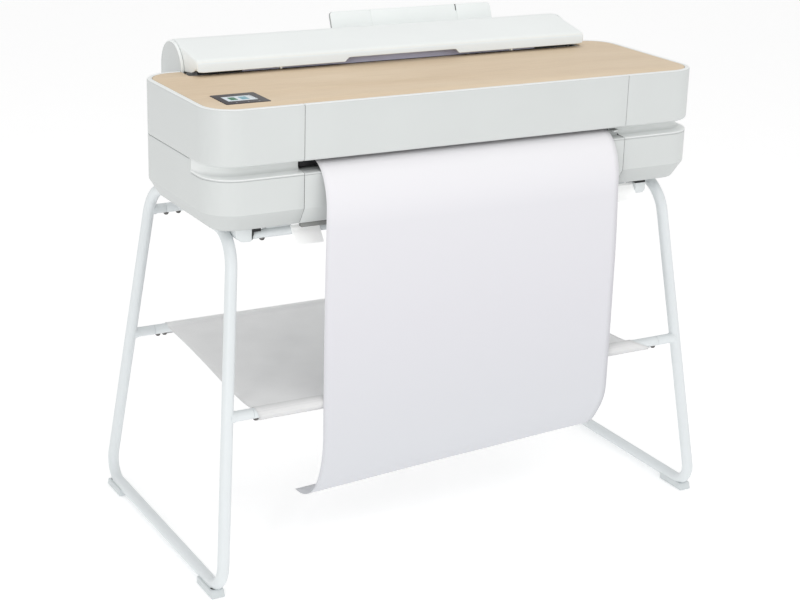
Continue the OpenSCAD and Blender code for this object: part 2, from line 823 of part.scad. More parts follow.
gear_m = 1.5;
gear_teeth = 32;
pinion_teeth = 12;
gear_x = -350;
pinion_y = feed_y + gear_m * (gear_teeth + pinion_teeth) / 2 + 0.15;
module feed_gear() {
  color([0.9, 0.9, 0.85]) translate([gear_x, feed_y, feed_z]) rotate([0, 90, 0]) rotate(180 / gear_teeth)
    rotate(90) spur_gear(gear_teeth, gear_m, 8, 5);
}

module feed_pinion() {
  color([0.8, 0.7, 0.4]) translate([gear_x, pinion_y, feed_z]) {
    rotate([0, 90, 0]) rotate(-90) spur_gear(pinion_teeth, gear_m, 10, 2.5);
    rotate([0, 90, 0]) translate([0, 0, -20]) cylinder(30, 2.5, 2.5);
  }
}

module feed_motor() {
  color(steel) translate([gear_x - 8, pinion_y, feed_z]) rotate([0, -90, 0]) difference() {
    union() {
      cylinder(42, 18, 18);
      translate([-22, -22, -2.4]) cube([44, 44, 2.4]);
    }
    translate([0, 0, -3]) cylinder(20, 2.56, 2.56);
  }
}

pinch_z = sheet_z + sheet_t / 2 + gap + pinch_r;
module pinch_rollers() {
  color([0.2, 0.2, 0.2]) {
    bar_x(-310, 310, feed_y, pinch_z, 2.5);
    for (x = [-270 : 90 : 270]) bar_x(x - 14, x + 14, feed_y, pinch_z, pinch_r);
  }
}

module pinch_arms() {
  color(shade) {
    for (x = [-225 : 90 : 225]) difference() {
      union() {
        block(x - 6, x + 6, feed_y - 8, feed_y + 6, pinch_z - 4, pinch_z + 9);
        block(x - 6, x + 6, feed_y, feed_y + 24, pinch_z + 6, pinch_z + 9);
      }
      bar_x(x - 8, x + 8, feed_y, pinch_z, 2.55);
    }
    block(-325, 325, feed_y + 22, feed_y + 29, pinch_z + 6, pinch_z + 9);
  }
}

// ---- Carriage ----

module carriage_rod() {
  color(steel) bar_x(-482, 482, rod_y, rod_z, rod_r);
}

module carriage_beam() {
  color(steel) {
    difference() {
      block(-484, 484, rod_y + 26, rod_y + 29, 780, 850);
      for (sx = [-1, 1]) translate([sx * pulley_x, rod_y, belt_z]) rotate([-90, 0, 0]) cylinder(60, 2.56, 2.56);
    }
    for (x = [-484, 480]) difference() {
      block(x, x + 4, rod_y - 20, rod_y + 26, 780, 850);
      bar_x(x - 2, x + 6, rod_y, rod_z, rod_r);
    }
  }
}

head_x0 = park_x - 46;
head_x1 = park_x + 46;
module carriage() {
  color(dark) difference() {
    block(head_x0, head_x1, -130, rod_y + 12, 782, 845);
    bar_x(head_x0 - 2, head_x1 + 2, rod_y, rod_z, rod_r + 0.06);
    block(head_x0 + 8, head_x1 - 8, -124, -80, 790, 850);
    block(head_x0 - 1, head_x1 + 1, rod_y + 2, rod_y + 20, 822, 850);
  }
}

module print_head() {
  color([0.35, 0.35, 0.4]) {
    block(head_x0 + 12, head_x1 - 12, -120, -84, sheet_z + 8, 782);
    block(head_x0 + 20, head_x1 - 20, -116, -88, sheet_z + 4, sheet_z + 8);
  }
}

module paper_cutter() {
  color(steel) {
    translate([head_x0 - 12, -100, 790]) rotate([0, 90, 0]) rotate([90, 0, 0]) cylinder(2, 10, 10);
    block(head_x0 - 24, head_x0, -112, -104, 782, 806);
    block(head_x0 - 13, head_x0 - 11, -105, -100, 789, 791);
  }
}

module drive_belt() {
  color([0.12, 0.12, 0.12]) translate([0, belt_y, belt_z]) rotate([90, 0, 0]) linear_extrude(6, center = true)
    difference() {
      union() {
        square([2 * pulley_x, 2 * pulley_r + 1.6], center = true);
        for (sx = [-1, 1]) translate([sx * pulley_x, 0]) circle(pulley_r + 0.8);
      }
      square([2 * pulley_x, 2 * pulley_r - 0.2], center = true);
      for (sx = [-1, 1]) translate([sx * pulley_x, 0]) circle(pulley_r - 0.1);
    }
}

module pulley(x) {
  translate([x, belt_y, belt_z]) rotate([90, 0, 0]) difference() {
    union() {
      cylinder(8, pulley_r - 0.5, pulley_r - 0.5, center = true);
      for (z = [-4.5, 3.5]) translate([0, 0, z]) cylinder(1, pulley_r + 1.5, pulley_r + 1.5);
    }
    cylinder(12, 2.5, 2.5, center = true);
  }
}

module motor_pulley() {
  color(steel) {
    pulley(pulley_x);
    translate([pulley_x, belt_y - 7, belt_z]) rotate([-90, 0, 0]) cylinder(30, 2.5, 2.5);
  }
}

module idler_pulley() {
  color(steel) {
    pulley(-pulley_x);
    translate([-pulley_x, belt_y - 7, belt_z]) rotate([-90, 0, 0]) cylinder(22, 2.5, 2.5);
  }
}

module carriage_motor() {
  color(steel) translate([pulley_x, belt_y + 14, belt_z]) rotate([-90, 0, 0]) difference() {
    cylinder(44, 18, 18);
    translate([0, 0, -1]) cylinder(12, 2.56, 2.56);
  }
}

module encoder_strip() {
  color([0.6, 0.6, 0.6]) block(-478, 478, rod_y + 22, rod_y + 22.4, 838, 848);
}

// The parking place at the right: a tray with a sled that lifts the cap.
module service_station() {
  color(dark) difference() {
    block(park_x - 50, park_x + 50, -134, -70, 700, 758);
    block(park_x - 44, park_x + 44, -128, -76, 712, 760);
  }
}

module cap_sled() {
  color([0.2, 0.2, 0.22]) {
    block(park_x - 40, park_x + 40, -124, -80, 724, 752);
    block(park_x - 30, park_x + 30, -120, -84, 752, sheet_z + 3.7);
  }
}

// ---- Ink, power and controls ----

ink_x0 = 190;
ink_pitch = 30;
module ink_station() {
  color(dark) difference() {
    block(ink_x0, ink_x0 + 4 * ink_pitch + 4, -206, -138, 776, 836);
    for (i = [0 : 3])
      block(ink_x0 + 4 + i * ink_pitch, ink_x0 + i * ink_pitch + ink_pitch, -208, -142, 780, 832);
  }
}

module ink_cartridges() {
  tints = [[0.1, 0.6, 0.8], [0.8, 0.2, 0.5], [0.9, 0.8, 0.2], [0.15, 0.15, 0.15]];
  for (i = [0 : 3]) color(tints[i])
    block(ink_x0 + 4.5 + i * ink_pitch, ink_x0 + i * ink_pitch + ink_pitch - 0.5, -210, -144, 780.3, 830);
}

module electronics() {
  color([0.1, 0.4, 0.25]) block(-300, -140, -60, 60, 672, 674);
  color(steel) for (x = [-290, -150], y = [-50, 50]) translate([x, y, base_z + wall]) cylinder(672 - base_z - wall, 3, 3);
  color(steel) block(160, 300, -70, 50, base_z + wall, 700);
}

// The socket for the mains lead and a data socket, in a plate in the rear wall.
button_x = plate_x0 + 16;
button_z = (plate_z0 + plate_z1) / 2;
button_r = 6;
module power_inlet() {
  color(dark) difference() {
    block(plate_x0, plate_x1, rear_y - 22, rear_y - 0.5, plate_z0, plate_z1);
    block(plate_x1 - 32, plate_x1 - 4, rear_y - 16, rear_y + 1, plate_z0 + 3, plate_z1 - 3);
    block(plate_x1 - 56, plate_x1 - 40, rear_y - 14, rear_y + 1, plate_z0 + 5, plate_z1 - 5);
    translate([button_x, rear_y - 12, button_z]) rotate([-90, 0, 0]) cylinder(20, button_r + 0.08, button_r + 0.08);
  }
  color(steel) for (x = [-26, -18, -10])
    block(plate_x1 + x - 1, plate_x1 + x + 1, rear_y - 17, rear_y - 6, button_z - 2, button_z + 2);
}

module power_button() {
  color([0.8, 0.82, 0.85]) translate([button_x, rear_y - 9.8, button_z]) rotate([-90, 0, 0])
    cylinder(11.6, button_r, button_r);
}

side_frame_left();
side_frame_right();
foot_shoes();
upper_front_bar();
upper_rear_bar();
basket_front_bar();
basket_rear_bar();
bar_brackets();
stand_bolts();
guide_flaps();
basket_fabric();
lower_left_shell();
lower_right_shell();
lower_front_panel();
base_tray();
base_rail();
rear_cover();
roll_trough();
roll_cheeks();
upper_left_cover();
upper_right_cover();
front_door();
top_deck();
wood_top();
screen_bezel();
screen_glass();
roll_cover();
sheet_support();
sheet_extension();
sheet_slot();
spindle();
spindle_hubs();
spindle_saddles();
paper_roll();
paper_sheet();
platen();
feed_roller();
feed_bearings();
feed_gear();
feed_motor();
feed_pinion();
pinch_rollers();
pinch_arms();
carriage_rod();
carriage_beam();
carriage();
print_head();
paper_cutter();
drive_belt();
motor_pulley();
idler_pulley();
carriage_motor();
encoder_strip();
service_station();
cap_sled();
ink_station();
ink_cartridges();
electronics();
power_inlet();
power_button();
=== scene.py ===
"""The looks of the large format plotter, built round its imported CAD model."""
import json
import math

import bmesh
import bpy
from mathutils import Matrix, Vector, noise
from mathutils.geometry import tessellate_polygon


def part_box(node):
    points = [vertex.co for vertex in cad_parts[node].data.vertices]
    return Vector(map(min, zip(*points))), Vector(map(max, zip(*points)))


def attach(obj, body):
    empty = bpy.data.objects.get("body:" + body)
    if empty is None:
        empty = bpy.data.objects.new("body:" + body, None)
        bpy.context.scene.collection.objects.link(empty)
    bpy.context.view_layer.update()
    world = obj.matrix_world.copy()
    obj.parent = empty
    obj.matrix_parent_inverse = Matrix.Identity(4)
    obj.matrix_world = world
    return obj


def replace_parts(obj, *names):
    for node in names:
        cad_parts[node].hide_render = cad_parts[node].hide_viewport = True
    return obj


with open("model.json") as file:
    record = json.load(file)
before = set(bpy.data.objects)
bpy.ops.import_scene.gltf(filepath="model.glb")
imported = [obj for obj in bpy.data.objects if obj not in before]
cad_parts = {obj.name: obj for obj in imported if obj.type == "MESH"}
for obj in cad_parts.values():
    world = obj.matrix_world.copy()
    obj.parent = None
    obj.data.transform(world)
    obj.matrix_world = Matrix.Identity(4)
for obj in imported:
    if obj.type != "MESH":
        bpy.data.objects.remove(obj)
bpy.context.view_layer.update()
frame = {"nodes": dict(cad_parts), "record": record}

MM = 0.001
scene = bpy.context.scene
nodes = frame["nodes"]


def box_mm(node):
    """A node's lowest and highest corners, in millimetres."""
    lo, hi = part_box(node)
    return [v / MM for v in lo], [v / MM for v in hi]


# ---- Camera and lights ----

cam_data = bpy.data.cameras.new("Camera")
cam_data.sensor_width = 36.0
cam_data.lens = 77.184
cam_data.clip_end = 60.0
camera = bpy.data.objects.new("Camera", cam_data)
scene.collection.objects.link(camera)
RIGHT = Vector((0.87477587, -0.48375397, 0.02737302))
UP = Vector((0.13429227, 0.29634762, 0.94559171))
FORWARD = Vector((0.46554567, 0.82350482, -0.32420216))
camera.matrix_world = Matrix.Translation((-1.580631, -2.769321, 1.493377)) @ Matrix(
    (RIGHT, UP, -FORWARD)
).transposed().to_4x4()
scene.camera = camera
scene.view_settings.view_transform = "Standard"

world = bpy.data.worlds.new("Studio")
scene.world = world
world.use_nodes = True
world.node_tree.nodes["Background"].inputs["Color"].default_value = (1.0, 1.0, 1.0, 1)
world.node_tree.nodes["Background"].inputs["Strength"].default_value = 0.75


def area_light(name, place, aim, size, power):
    data = bpy.data.lights.new(name, "AREA")
    data.shape = "RECTANGLE"
    data.size, data.size_y = size
    data.energy = power
    light = bpy.data.objects.new(name, data)
    light.location = place
    light.rotation_euler = (Vector(aim) - Vector(place)).to_track_quat("-Z", "Y").to_euler()
    scene.collection.objects.link(light)


area_light("Top", (0.0, 0.2, 3.2), (0, 0, 0.6), (3.0, 2.4), 8)
area_light("High", (-0.2, -2.4, 2.9), (0, -0.25, 0.75), (2.5, 1.0), 12)
area_light("Corner", (-2.9, -2.9, 1.3), (-0.4, 0, 0.7), (0.5, 2.2), 23)
area_light("Fill", (3.2, -2.2, 1.4), (0, 0, 0.6), (2.0, 2.2), 6)
area_light("Low", (-0.6, -4.0, 0.8), (0, 0, 0.6), (4.5, 1.6), 5)


# ---- Materials ----

def shader(name, **settings):
    """A new material and its node tree, with the Principled shader's own sockets set."""
    mat = bpy.data.materials.new(name)
    mat.use_nodes = True
    tree = mat.node_tree
    bsdf = tree.nodes["Principled BSDF"]
    for key, value in settings.items():
        bsdf.inputs[key.replace("_", " ")].default_value = value
    return mat, tree, bsdf


def add(tree, kind, links=None, **settings):
    """Adds a node, sets its properties or inputs, and links its inputs."""
    node = tree.nodes.new(kind)
    for key, value in settings.items():
        if hasattr(node, key):
            setattr(node, key, value)
        else:
            node.inputs[key.replace("_", " ")].default_value = value
    for socket, source in (links or {}).items():
        tree.links.new(source, node.inputs[socket])
    return node


def place(tree, scale=(1, 1, 1)):
    """Object coordinates, scaled."""
    coord = add(tree, "ShaderNodeTexCoord")
    mapping = add(tree, "ShaderNodeMapping", {"Vector": coord.outputs["Object"]})
    mapping.inputs["Scale"].default_value = scale
    return mapping.outputs["Vector"]


def ramp(tree, source, stops):
    node = add(tree, "ShaderNodeValToRGB", {"Fac": source})
    points = node.color_ramp.elements
    while len(points) < len(stops):
        points.new(0.5)
    for point, (at, colour) in zip(points, stops):
        point.position = at
        point.color = (*colour, 1)
    return node.outputs["Color"]


def shade(colour, k):
    return tuple(min(1.0, c * k) for c in colour)


def paint(tree, bsdf, source, stops):
    """Base colour from a ramp over a noise, a weave or a height."""
    tree.links.new(ramp(tree, source, stops), bsdf.inputs["Base Color"])


def gloss(tree, bsdf, source, low, high):
    """Roughness that follows a noise between two values."""
    node = add(tree, "ShaderNodeMapRange", {"Value": source}, To_Min=low, To_Max=high)
    tree.links.new(node.outputs["Result"], bsdf.inputs["Roughness"])


def relief(tree, bsdf, source, strength, distance=0.0002):
    """A fine bump that follows a noise or a weave."""
    node = add(tree, "ShaderNodeBump", {"Height": source}, Strength=strength, Distance=distance)
    tree.links.new(node.outputs["Normal"], bsdf.inputs["Normal"])


def grain_of(tree, scale, detail, stretch=(1, 1, 1)):
    """A noise in object coordinates."""
    node = add(tree, "ShaderNodeTexNoise", {"Vector": place(tree, stretch)}, Scale=scale, Detail=detail)
    return node.outputs["Fac"]


def moulded(name, colour, rough=0.45, grain=1500.0, bump=0.06, vary=0.02, **more):
    """Moulded or painted: a fine surface texture, slow drifts in tone and a varied gloss."""
    mat, tree, bsdf = shader(name, **more)
    slow = grain_of(tree, 9.0, 3.0)
    paint(tree, bsdf, slow, [(0.3, shade(colour, 1 - vary)), (0.7, shade(colour, 1 + vary))])
    gloss(tree, bsdf, slow, rough - 0.05, rough + 0.07)
    relief(tree, bsdf, grain_of(tree, grain, 2.0), bump, 0.0003)
    return mat


def multiply(tree, first, second, share):
    """Darkens one colour by another, by a share."""
    node = add(tree, "ShaderNodeMix", {6: first, 7: second}, data_type="RGBA", blend_type="MULTIPLY")
    node.inputs[0].default_value = share
    return node.outputs[2]


def wood_veneer(name):
    """Pale straight-grained veneer, its grain along X."""
    mat, tree, bsdf = shader(name)
    bend = add(tree, "ShaderNodeTexNoise", {"Vector": place(tree, (2.6, 6.0, 6.0))}, Scale=1.0, Detail=3.0)
    moved = add(tree, "ShaderNodeVectorMath", {0: place(tree, (1.6, 11.0, 11.0)), 1: bend.outputs["Color"]})
    moved.operation = "ADD"
    figure = add(tree, "ShaderNodeTexNoise", {"Vector": moved.outputs["Vector"]}, Scale=1.0, Detail=5.0)
    fibre = grain_of(tree, 1.0, 4.0, (14.0, 900.0, 900.0))
    fleck = grain_of(tree, 1.0, 2.0, (60.0, 1500.0, 60.0))
    base = ramp(tree, figure.outputs["Fac"], [
        (0.25, (0.680, 0.530, 0.362)), (0.45, (0.738, 0.588, 0.415)),
        (0.6, (0.765, 0.620, 0.446)), (0.8, (0.800, 0.663, 0.492))])
    thread = ramp(tree, fibre, [(0.3, (0.86, 0.84, 0.80)), (0.55, (1, 1, 1))])
    dash = ramp(tree, fleck, [(0.28, (0.80, 0.74, 0.66)), (0.36, (1, 1, 1))])
    tone = multiply(tree, multiply(tree, base, thread, 0.75), dash, 0.5)
    tree.links.new(tone, bsdf.inputs["Base Color"])
    gloss(tree, bsdf, fibre, 0.48, 0.62)
    relief(tree, bsdf, fibre, 0.12)
    return mat


def woven(name, colour, pitch=0.0011):
    """A plain weave: two crossed sets of threads, with uneven tone."""
    mat, tree, bsdf = shader(name, Roughness=0.88, Sheen_Weight=0.25, Sheen_Roughness=0.5)
    k = 0.5 / pitch
    warp, weft = (
        add(tree, "ShaderNodeTexWave", {"Vector": place(tree, (k, k, k))}, wave_type="BANDS",
            bands_direction=axis, wave_profile="SIN", Scale=0.32, Distortion=0.6, Detail=1.0).outputs["Fac"]
        for axis in ("X", "Y"))
    cross = add(tree, "ShaderNodeMath", {0: warp, 1: weft}, operation="MULTIPLY").outputs["Value"]
    both = add(tree, "ShaderNodeMath", {0: cross, 1: grain_of(tree, 14.0, 4.0)}, operation="ADD")
    paint(tree, bsdf, both.outputs["Value"], [(0.35, shade(colour, 0.93)), (1.0, shade(colour, 1.03))])
    relief(tree, bsdf, cross, 0.5, 0.0004)
    return mat


def metal(name, colour, rough=0.35, along=(1.0, 400.0, 400.0)):
    """Rolled or turned metal with fine drawn lines."""
    mat, tree, bsdf = shader(name, Metallic=1.0)
    lines = grain_of(tree, 1.0, 3.0, along)
    paint(tree, bsdf, lines, [(0.3, shade(colour, 0.88)), (0.7, shade(colour, 1.06))])
    gloss(tree, bsdf, lines, rough - 0.08, rough + 0.10)
    relief(tree, bsdf, lines, 0.08)
    return mat


def paper_with_painted_shade(name):
    """Plotter paper: a faint tooth, and painted light and shade by height: whitest near the outlet and greyer
    towards the hanging end.
    """
    mat, tree, bsdf = shader(name)
    apart = add(tree, "ShaderNodeSeparateXYZ", {"Vector": place(tree)})
    height = add(tree, "ShaderNodeMapRange", {"Value": apart.outputs["Z"]}, From_Min=0.20, From_Max=0.76)
    paint(tree, bsdf, height.outputs["Result"], [
        (0.0, (0.640, 0.650, 0.680)), (0.45, (0.680, 0.676, 0.712)),
        (0.8, (0.715, 0.710, 0.742)), (1.0, (0.860, 0.850, 0.872))])
    tooth = grain_of(tree, 2600.0, 2.0)
    gloss(tree, bsdf, tooth, 0.57, 0.69)
    relief(tree, bsdf, tooth, 0.05, 0.0003)
    return mat


MATERIALS = {
    "cover_white": moulded("CoverWhite", (0.612, 0.634, 0.626), 0.42, 1400, 0.05, 0.012),
    "deck_white": moulded("DeckWhite", (0.70, 0.72, 0.71), 0.5),
    "lid_white": moulded("LidWhite", (0.880, 0.910, 0.900), 0.36, 1400, 0.04, 0.010),
    "cheek_grey": moulded("CheekGrey", (0.600, 0.622, 0.616), 0.45, 1400, 0.06, 0.015),
    "tube_white": moulded("TubeWhite", (0.715, 0.750, 0.762), 0.30, 700, 0.10, 0.015),
    "fabric_white": woven("FabricWhite", (0.870, 0.870, 0.870)),
    "wood": wood_veneer("PaleWood"),
    "screen_black": moulded("ScreenBlack", (0.020, 0.015, 0.020), 0.34, 900, 0.02, 0.05,
                            Specular_IOR_Level=0.25),
    "screen_glass": moulded("ScreenPanel", (0.70, 0.78, 0.84), 0.12, 900, 0.02, 0.02),
    "dark_plastic": moulded("DarkPlastic", (0.018, 0.018, 0.020), 0.5, 1200, 0.12, 0.10),
    # painted light: the slot's grey is far lighter than the plastic, lifting the shade under the roll cover's
    # lip
    "slot_grey": moulded("SlotGrey", (0.560, 0.555, 0.700), 0.5, 1200, 0.08, 0.04),
    "steel": metal("SheetSteel", (0.62, 0.63, 0.65)),
    "rail_grey": moulded("RailGrey", (0.240, 0.245, 0.235), 0.4, 900, 0.08, 0.05),
    "rubber": moulded("Rubber", (0.022, 0.022, 0.024), 0.75, 1500, 0.25, 0.10),
    "gear_plastic": moulded("GearPlastic", (0.72, 0.71, 0.64), 0.4, 1200, 0.06, 0.03),
    "brass": metal("Brass", (0.78, 0.60, 0.28), 0.3),
    "paper": paper_with_painted_shade("Paper"),
    "hub_blue": moulded("HubBlue", (0.035, 0.110, 0.190), 0.4, 1200, 0.06, 0.05),
    "board_green": moulded("BoardGreen", (0.010, 0.095, 0.045), 0.35, 500, 0.15, 0.15),
    "ink_plastic": moulded("InkPlastic", (0.030, 0.034, 0.045), 0.28, 1200, 0.04, 0.08),
    "strip_clear": moulded("StripFilm", (0.42, 0.42, 0.44), 0.2, 900, 0.03, 0.03),
}
# Finishes that share a slot: the slot's name, a dot and the variant.
MATERIALS["cheek_grey.rim"] = MATERIALS["lid_white"]
MATERIALS.update({
    "steel.screw": metal("ScrewSteel", (0.16, 0.155, 0.15), 0.42, (300.0, 300.0, 300.0)),
    "cheek_grey.bracket": moulded("BracketGrey", (0.700, 0.730, 0.735), 0.42, 1400, 0.05, 0.012),
    # painted light: the flaps glow a little so that they read white in the shade under the body
    "lid_white.flap": moulded("FlapPaintedLight", (0.955, 0.958, 0.950), 0.5, 1400, 0.05, 0.008,
                              Emission_Color=(1, 1, 1, 1), Emission_Strength=0.17),
    # painted light: the lip's front face is tinted blue to cancel the warm light bounced from the wood, and
    # glows a little
    "lid_white.lip_painted_light": moulded("LipPaintedLight", (0.850, 0.915, 0.955), 0.40, 1400, 0.04, 0.010,
                             Emission_Color=(0.8, 0.9, 1.0, 1), Emission_Strength=0.02),
    # painted light: a lighter copy of the cover white for the wall behind the finger groove, lifting the
    # shade in the recess
    "cover_white.groove_painted_light": moulded("GroovePaintedLight", (0.770, 0.790, 0.782), 0.42, 1400, 0.05, 0.012),
    # painted shade: a darker copy of the cloth for the sleeve round the front bar
    "fabric_white.sleeve_painted_shade": woven("SleevePaintedShade", (0.720, 0.720, 0.720)),
    # painted shade: a darker copy of the cover white for the slope below the front face, which faces down
    "cover_white.slope_painted_shade": moulded("SlopePaintedShade", (0.552, 0.573, 0.566), 0.42, 1400, 0.05, 0.012),
    # painted shade: a darker copy of the tube white for the floor shoes
    "tube_white.shoe": moulded("ShoePaintedShade", (0.620, 0.658, 0.668), 0.36, 900, 0.08, 0.015),
    "lid_white.edge": moulded("EdgeGrey", (0.420, 0.430, 0.430), 0.5, 1400, 0.04, 0.02),
    # painted highlight: a lighter copy of the cover white for the lit top of the rim and of the ledge
    "cover_white.rim_highlight": moulded("RimHighlight", (0.860, 0.880, 0.872), 0.42, 1400, 0.05, 0.012),
    # painted light: a still lighter copy for the curved guide, lifting the deep shade under the lip
    "slot_grey.guide": moulded("GuidePaintedLight", (0.740, 0.735, 0.900), 0.5, 1200, 0.08, 0.04),
    "screen_glass.green": moulded("TileGreen", (0.008, 0.160, 0.070), 0.3, 900, 0.02, 0.08,
                                  Specular_IOR_Level=0.2),
    "screen_glass.teal": moulded("TileTeal", (0.170, 0.390, 0.470), 0.3, 900, 0.02, 0.08,
                                 Specular_IOR_Level=0.2),
    "screen_black.key": moulded("KeyGrey", (0.30, 0.30, 0.33), 0.3, 900, 0.02, 0.05),
    "floor": moulded("Floor", (0.965, 0.965, 0.965), 0.85, 300, 0.02, 0.003,
                     Emission_Color=(1, 1, 1, 1), Emission_Strength=0.235),
})
SLOT_OF = {row["node"]: row["material_slot"] for row in frame["record"]["subparts"]}
for name, node in nodes.items():
    node.data.materials.clear()
    node.data.materials.append(MATERIALS[SLOT_OF[name]])


# ---- Mesh tools ----

class Shape:
    """Collects vertices (in millimetres) and faces, and makes one piece of them."""

    def __init__(self):
        self.verts = []
        self.faces = []
        self.kinds = []

    def put(self, points):
        start = len(self.verts)
        self.verts.extend(tuple(p) for p in points)
        return list(range(start, start + len(points)))

    def grid(self, rows, close_row=False, close_all=False, kind=0):
        """Joins rows of equally many points. close_row closes each row, close_all joins last to first."""
        ids = [self.put(row) for row in rows]
        n = len(rows[0])
        for i in range(len(ids) if close_all else len(ids) - 1):
            a, b = ids[i], ids[(i + 1) % len(ids)]
            for j in range(n if close_row else n - 1):
                k = (j + 1) % n
                self.faces.append((a[j], a[k], b[k], b[j]))
                self.kinds.append(kind)
        return ids

    def cap(self, ids, kind=0):
        self.faces.append(tuple(ids))
        self.kinds.append(kind)

    def solid(self, rows, caps=(0, 0)):
        """Joins closed rows and closes both ends. caps gives the two ends' kinds."""
        ids = self.grid(rows, close_row=True)
        self.cap(ids[0][::-1], caps[0])
        self.cap(ids[-1], caps[1])

    def recolour(self, kind, test):
        """Faces whose points all pass the test get another kind."""
        self.kinds = [kind if all(test(*self.verts[i]) for i in face) else old
                      for face, old in zip(self.faces, self.kinds)]

    def make(self, name, slots, body, replaces=(), sharp=32, weld=0.01):
        """slots is one finish, or one for each kind of face: a slot, or a slot, a dot and a variant."""
        slots = [slots] if isinstance(slots, str) else slots
        mesh = bpy.data.meshes.new(name)
        mesh.from_pydata([(x * MM, y * MM, z * MM) for x, y, z in self.verts], [], self.faces)
        for s in slots:
            mesh.materials.append(MATERIALS[s])
        for poly, kind in zip(mesh.polygons, self.kinds):
            poly.material_index = kind
        bm = bmesh.new()
        bm.from_mesh(mesh)
        bmesh.ops.remove_doubles(bm, verts=bm.verts, dist=weld * MM)
        bmesh.ops.dissolve_degenerate(bm, dist=0.002 * MM, edges=bm.edges)
        bmesh.ops.recalc_face_normals(bm, faces=bm.faces)
        for face in bm.faces:
            face.smooth = True
        for edge in bm.edges:
            if len(edge.link_faces) == 2:
                edge.smooth = edge.calc_face_angle(0) < math.radians(sharp)
        bm.to_mesh(mesh)
        bm.free()
        piece = bpy.data.objects.new(name, mesh)
        scene.collection.objects.link(piece)
        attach(piece, body)
        if replaces:
            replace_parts(piece, *replaces)
        return piece


def arc(cx, cy, r, a0, a1, steps):
    """Points of an arc, both ends included; angles in degrees."""
    out = []
    for i in range(steps + 1):
        a = math.radians(a0 + (a1 - a0) * i / steps)
        out.append((cx + r * math.cos(a), cy + r * math.sin(a)))
    return out


def mix(a, b, t):
    return a + (b - a) * t


def ease(t):
    t = min(max(t, 0.0), 1.0)
    return t * t * (3 - 2 * t)


def quarter(r, steps):
    """A quarter round as (distance from the end face, shrink) pairs, from the end face inwards."""
    turns = [math.pi / 2 * k / steps for k in range(steps + 1)]
    return [(r * (1 - math.cos(a)), r * (1 - math.sin(a))) for a in turns]


def rounded(points, radii, steps=6, closed=True):
    """A polygon (list of 2-D points) with each corner replaced by an arc."""
    out = []
    n = len(points)
    for i in range(n):
        p = Vector(points[i])
        r = radii[i]
        if r <= 0 or (not closed and i in (0, n - 1)):
            out.append(tuple(p))
            continue
        a = (Vector(points[i - 1]) - p).normalized()
        b = (Vector(points[(i + 1) % n]) - p).normalized()
        half = a.angle(b) / 2
        reach = r / math.tan(half)
        centre = p + (a + b).normalized() * (r / math.sin(half))
        s, e = p + a * reach - centre, p + b * reach - centre
        turn = math.atan2(s.x * e.y - s.y * e.x, s.dot(e))
        for k in range(steps + 1):
            c, w = math.cos(turn * k / steps), math.sin(turn * k / steps)
            out.append((centre.x + s.x * c - s.y * w, centre.y + s.x * w + s.y * c))
    return out


def rect(x0, x1, y0, y1, r, steps=5):
    """A rounded rectangle; r is one radius, or one for each corner from (x0, y0) round by (x1, y0)."""
    return rounded([(x0, y0), (x1, y0), (x1, y1), (x0, y1)], r if isinstance(r, list) else [r] * 4, steps)


def either_side(sx, a, b):
    """Two distances from the middle, on the side sx, as X from low to high."""
    return sorted((sx * a, sx * b))


def sweep_tube(shape, line, r, segments=24, closed=False):
    """A round tube along a line of 3-D points; r is one radius, or one for each point."""
    pts = [Vector(p) for p in line]
    n = len(pts)
    rings = []
    previous = (pts[1] - pts[0]).normalized()
    side = previous.orthogonal().normalized()
    for i in range(n):
        if closed:
            along = (pts[(i + 1) % n] - pts[i - 1]).normalized()
        else:
            along = (pts[min(i + 1, n - 1)] - pts[max(i - 1, 0)]).normalized()
        side = (previous.rotation_difference(along) @ side)
        side = (side - along * side.dot(along)).normalized()
        previous = along
        up = along.cross(side)
        radius = r[i] if isinstance(r, (list, tuple)) else r
        rings.append([pts[i] + radius * (side * math.cos(t) + up * math.sin(t))
                      for t in (2 * math.pi * k / segments for k in range(segments))])
    if closed:
        shape.grid(rings, close_row=True, close_all=True)
    else:
        shape.solid(rings)


def bar(shape, x0, x1, y, z, r, segments=24, end=1.0):
    """A round bar along X with softened ends."""
    steps = [(0.0, end), (end * 0.3, end * 0.3), (end, 0.0)]
    pairs = [(x0 + along, r - less) for along, less in steps]
    pairs += [(x1 - along, r - less) for along, less in steps[::-1]]
    sweep_tube(shape, [(x, y, z) for x, _ in pairs], [radius for _, radius in pairs], segments)


def soft_block(shape, lo, hi, r=1.0, steps=2):
    """A block with rounded edges."""
    r = min(r, *((b - a) / 2 - 0.01 for a, b in zip(lo, hi)))
    edge = quarter(r, steps)
    levels = [(lo[2] + up, inset) for up, inset in edge]
    levels += [(hi[2] - down, inset) for down, inset in edge[::-1]]
    rows = []
    for z, d in levels:
        ring = rect(lo[0] + d, hi[0] - d, lo[1] + d, hi[1] - d, max(r * 0.999 - d, 0.02), steps)
        rows.append([(x, y, z) for x, y in ring])
    shape.solid(rows)


def shrunk(loop, d):
    """A loop of 2-D points moved inwards by d; a hole's loop runs the other way and grows."""
    out = []
    for i, point in enumerate(loop):
        a, b, c = Vector(loop[i - 1]), Vector(point), Vector(loop[(i + 1) % len(loop)])
        t = ((b - a).normalized() + (c - b).normalized()).normalized()
        out.append((b.x - t.y * d, b.y + t.x * d))
    return out


def area(loop):
    return sum(loop[i - 1][0] * loop[i][1] - loop[i][0] * loop[i - 1][1] for i in range(len(loop))) / 2


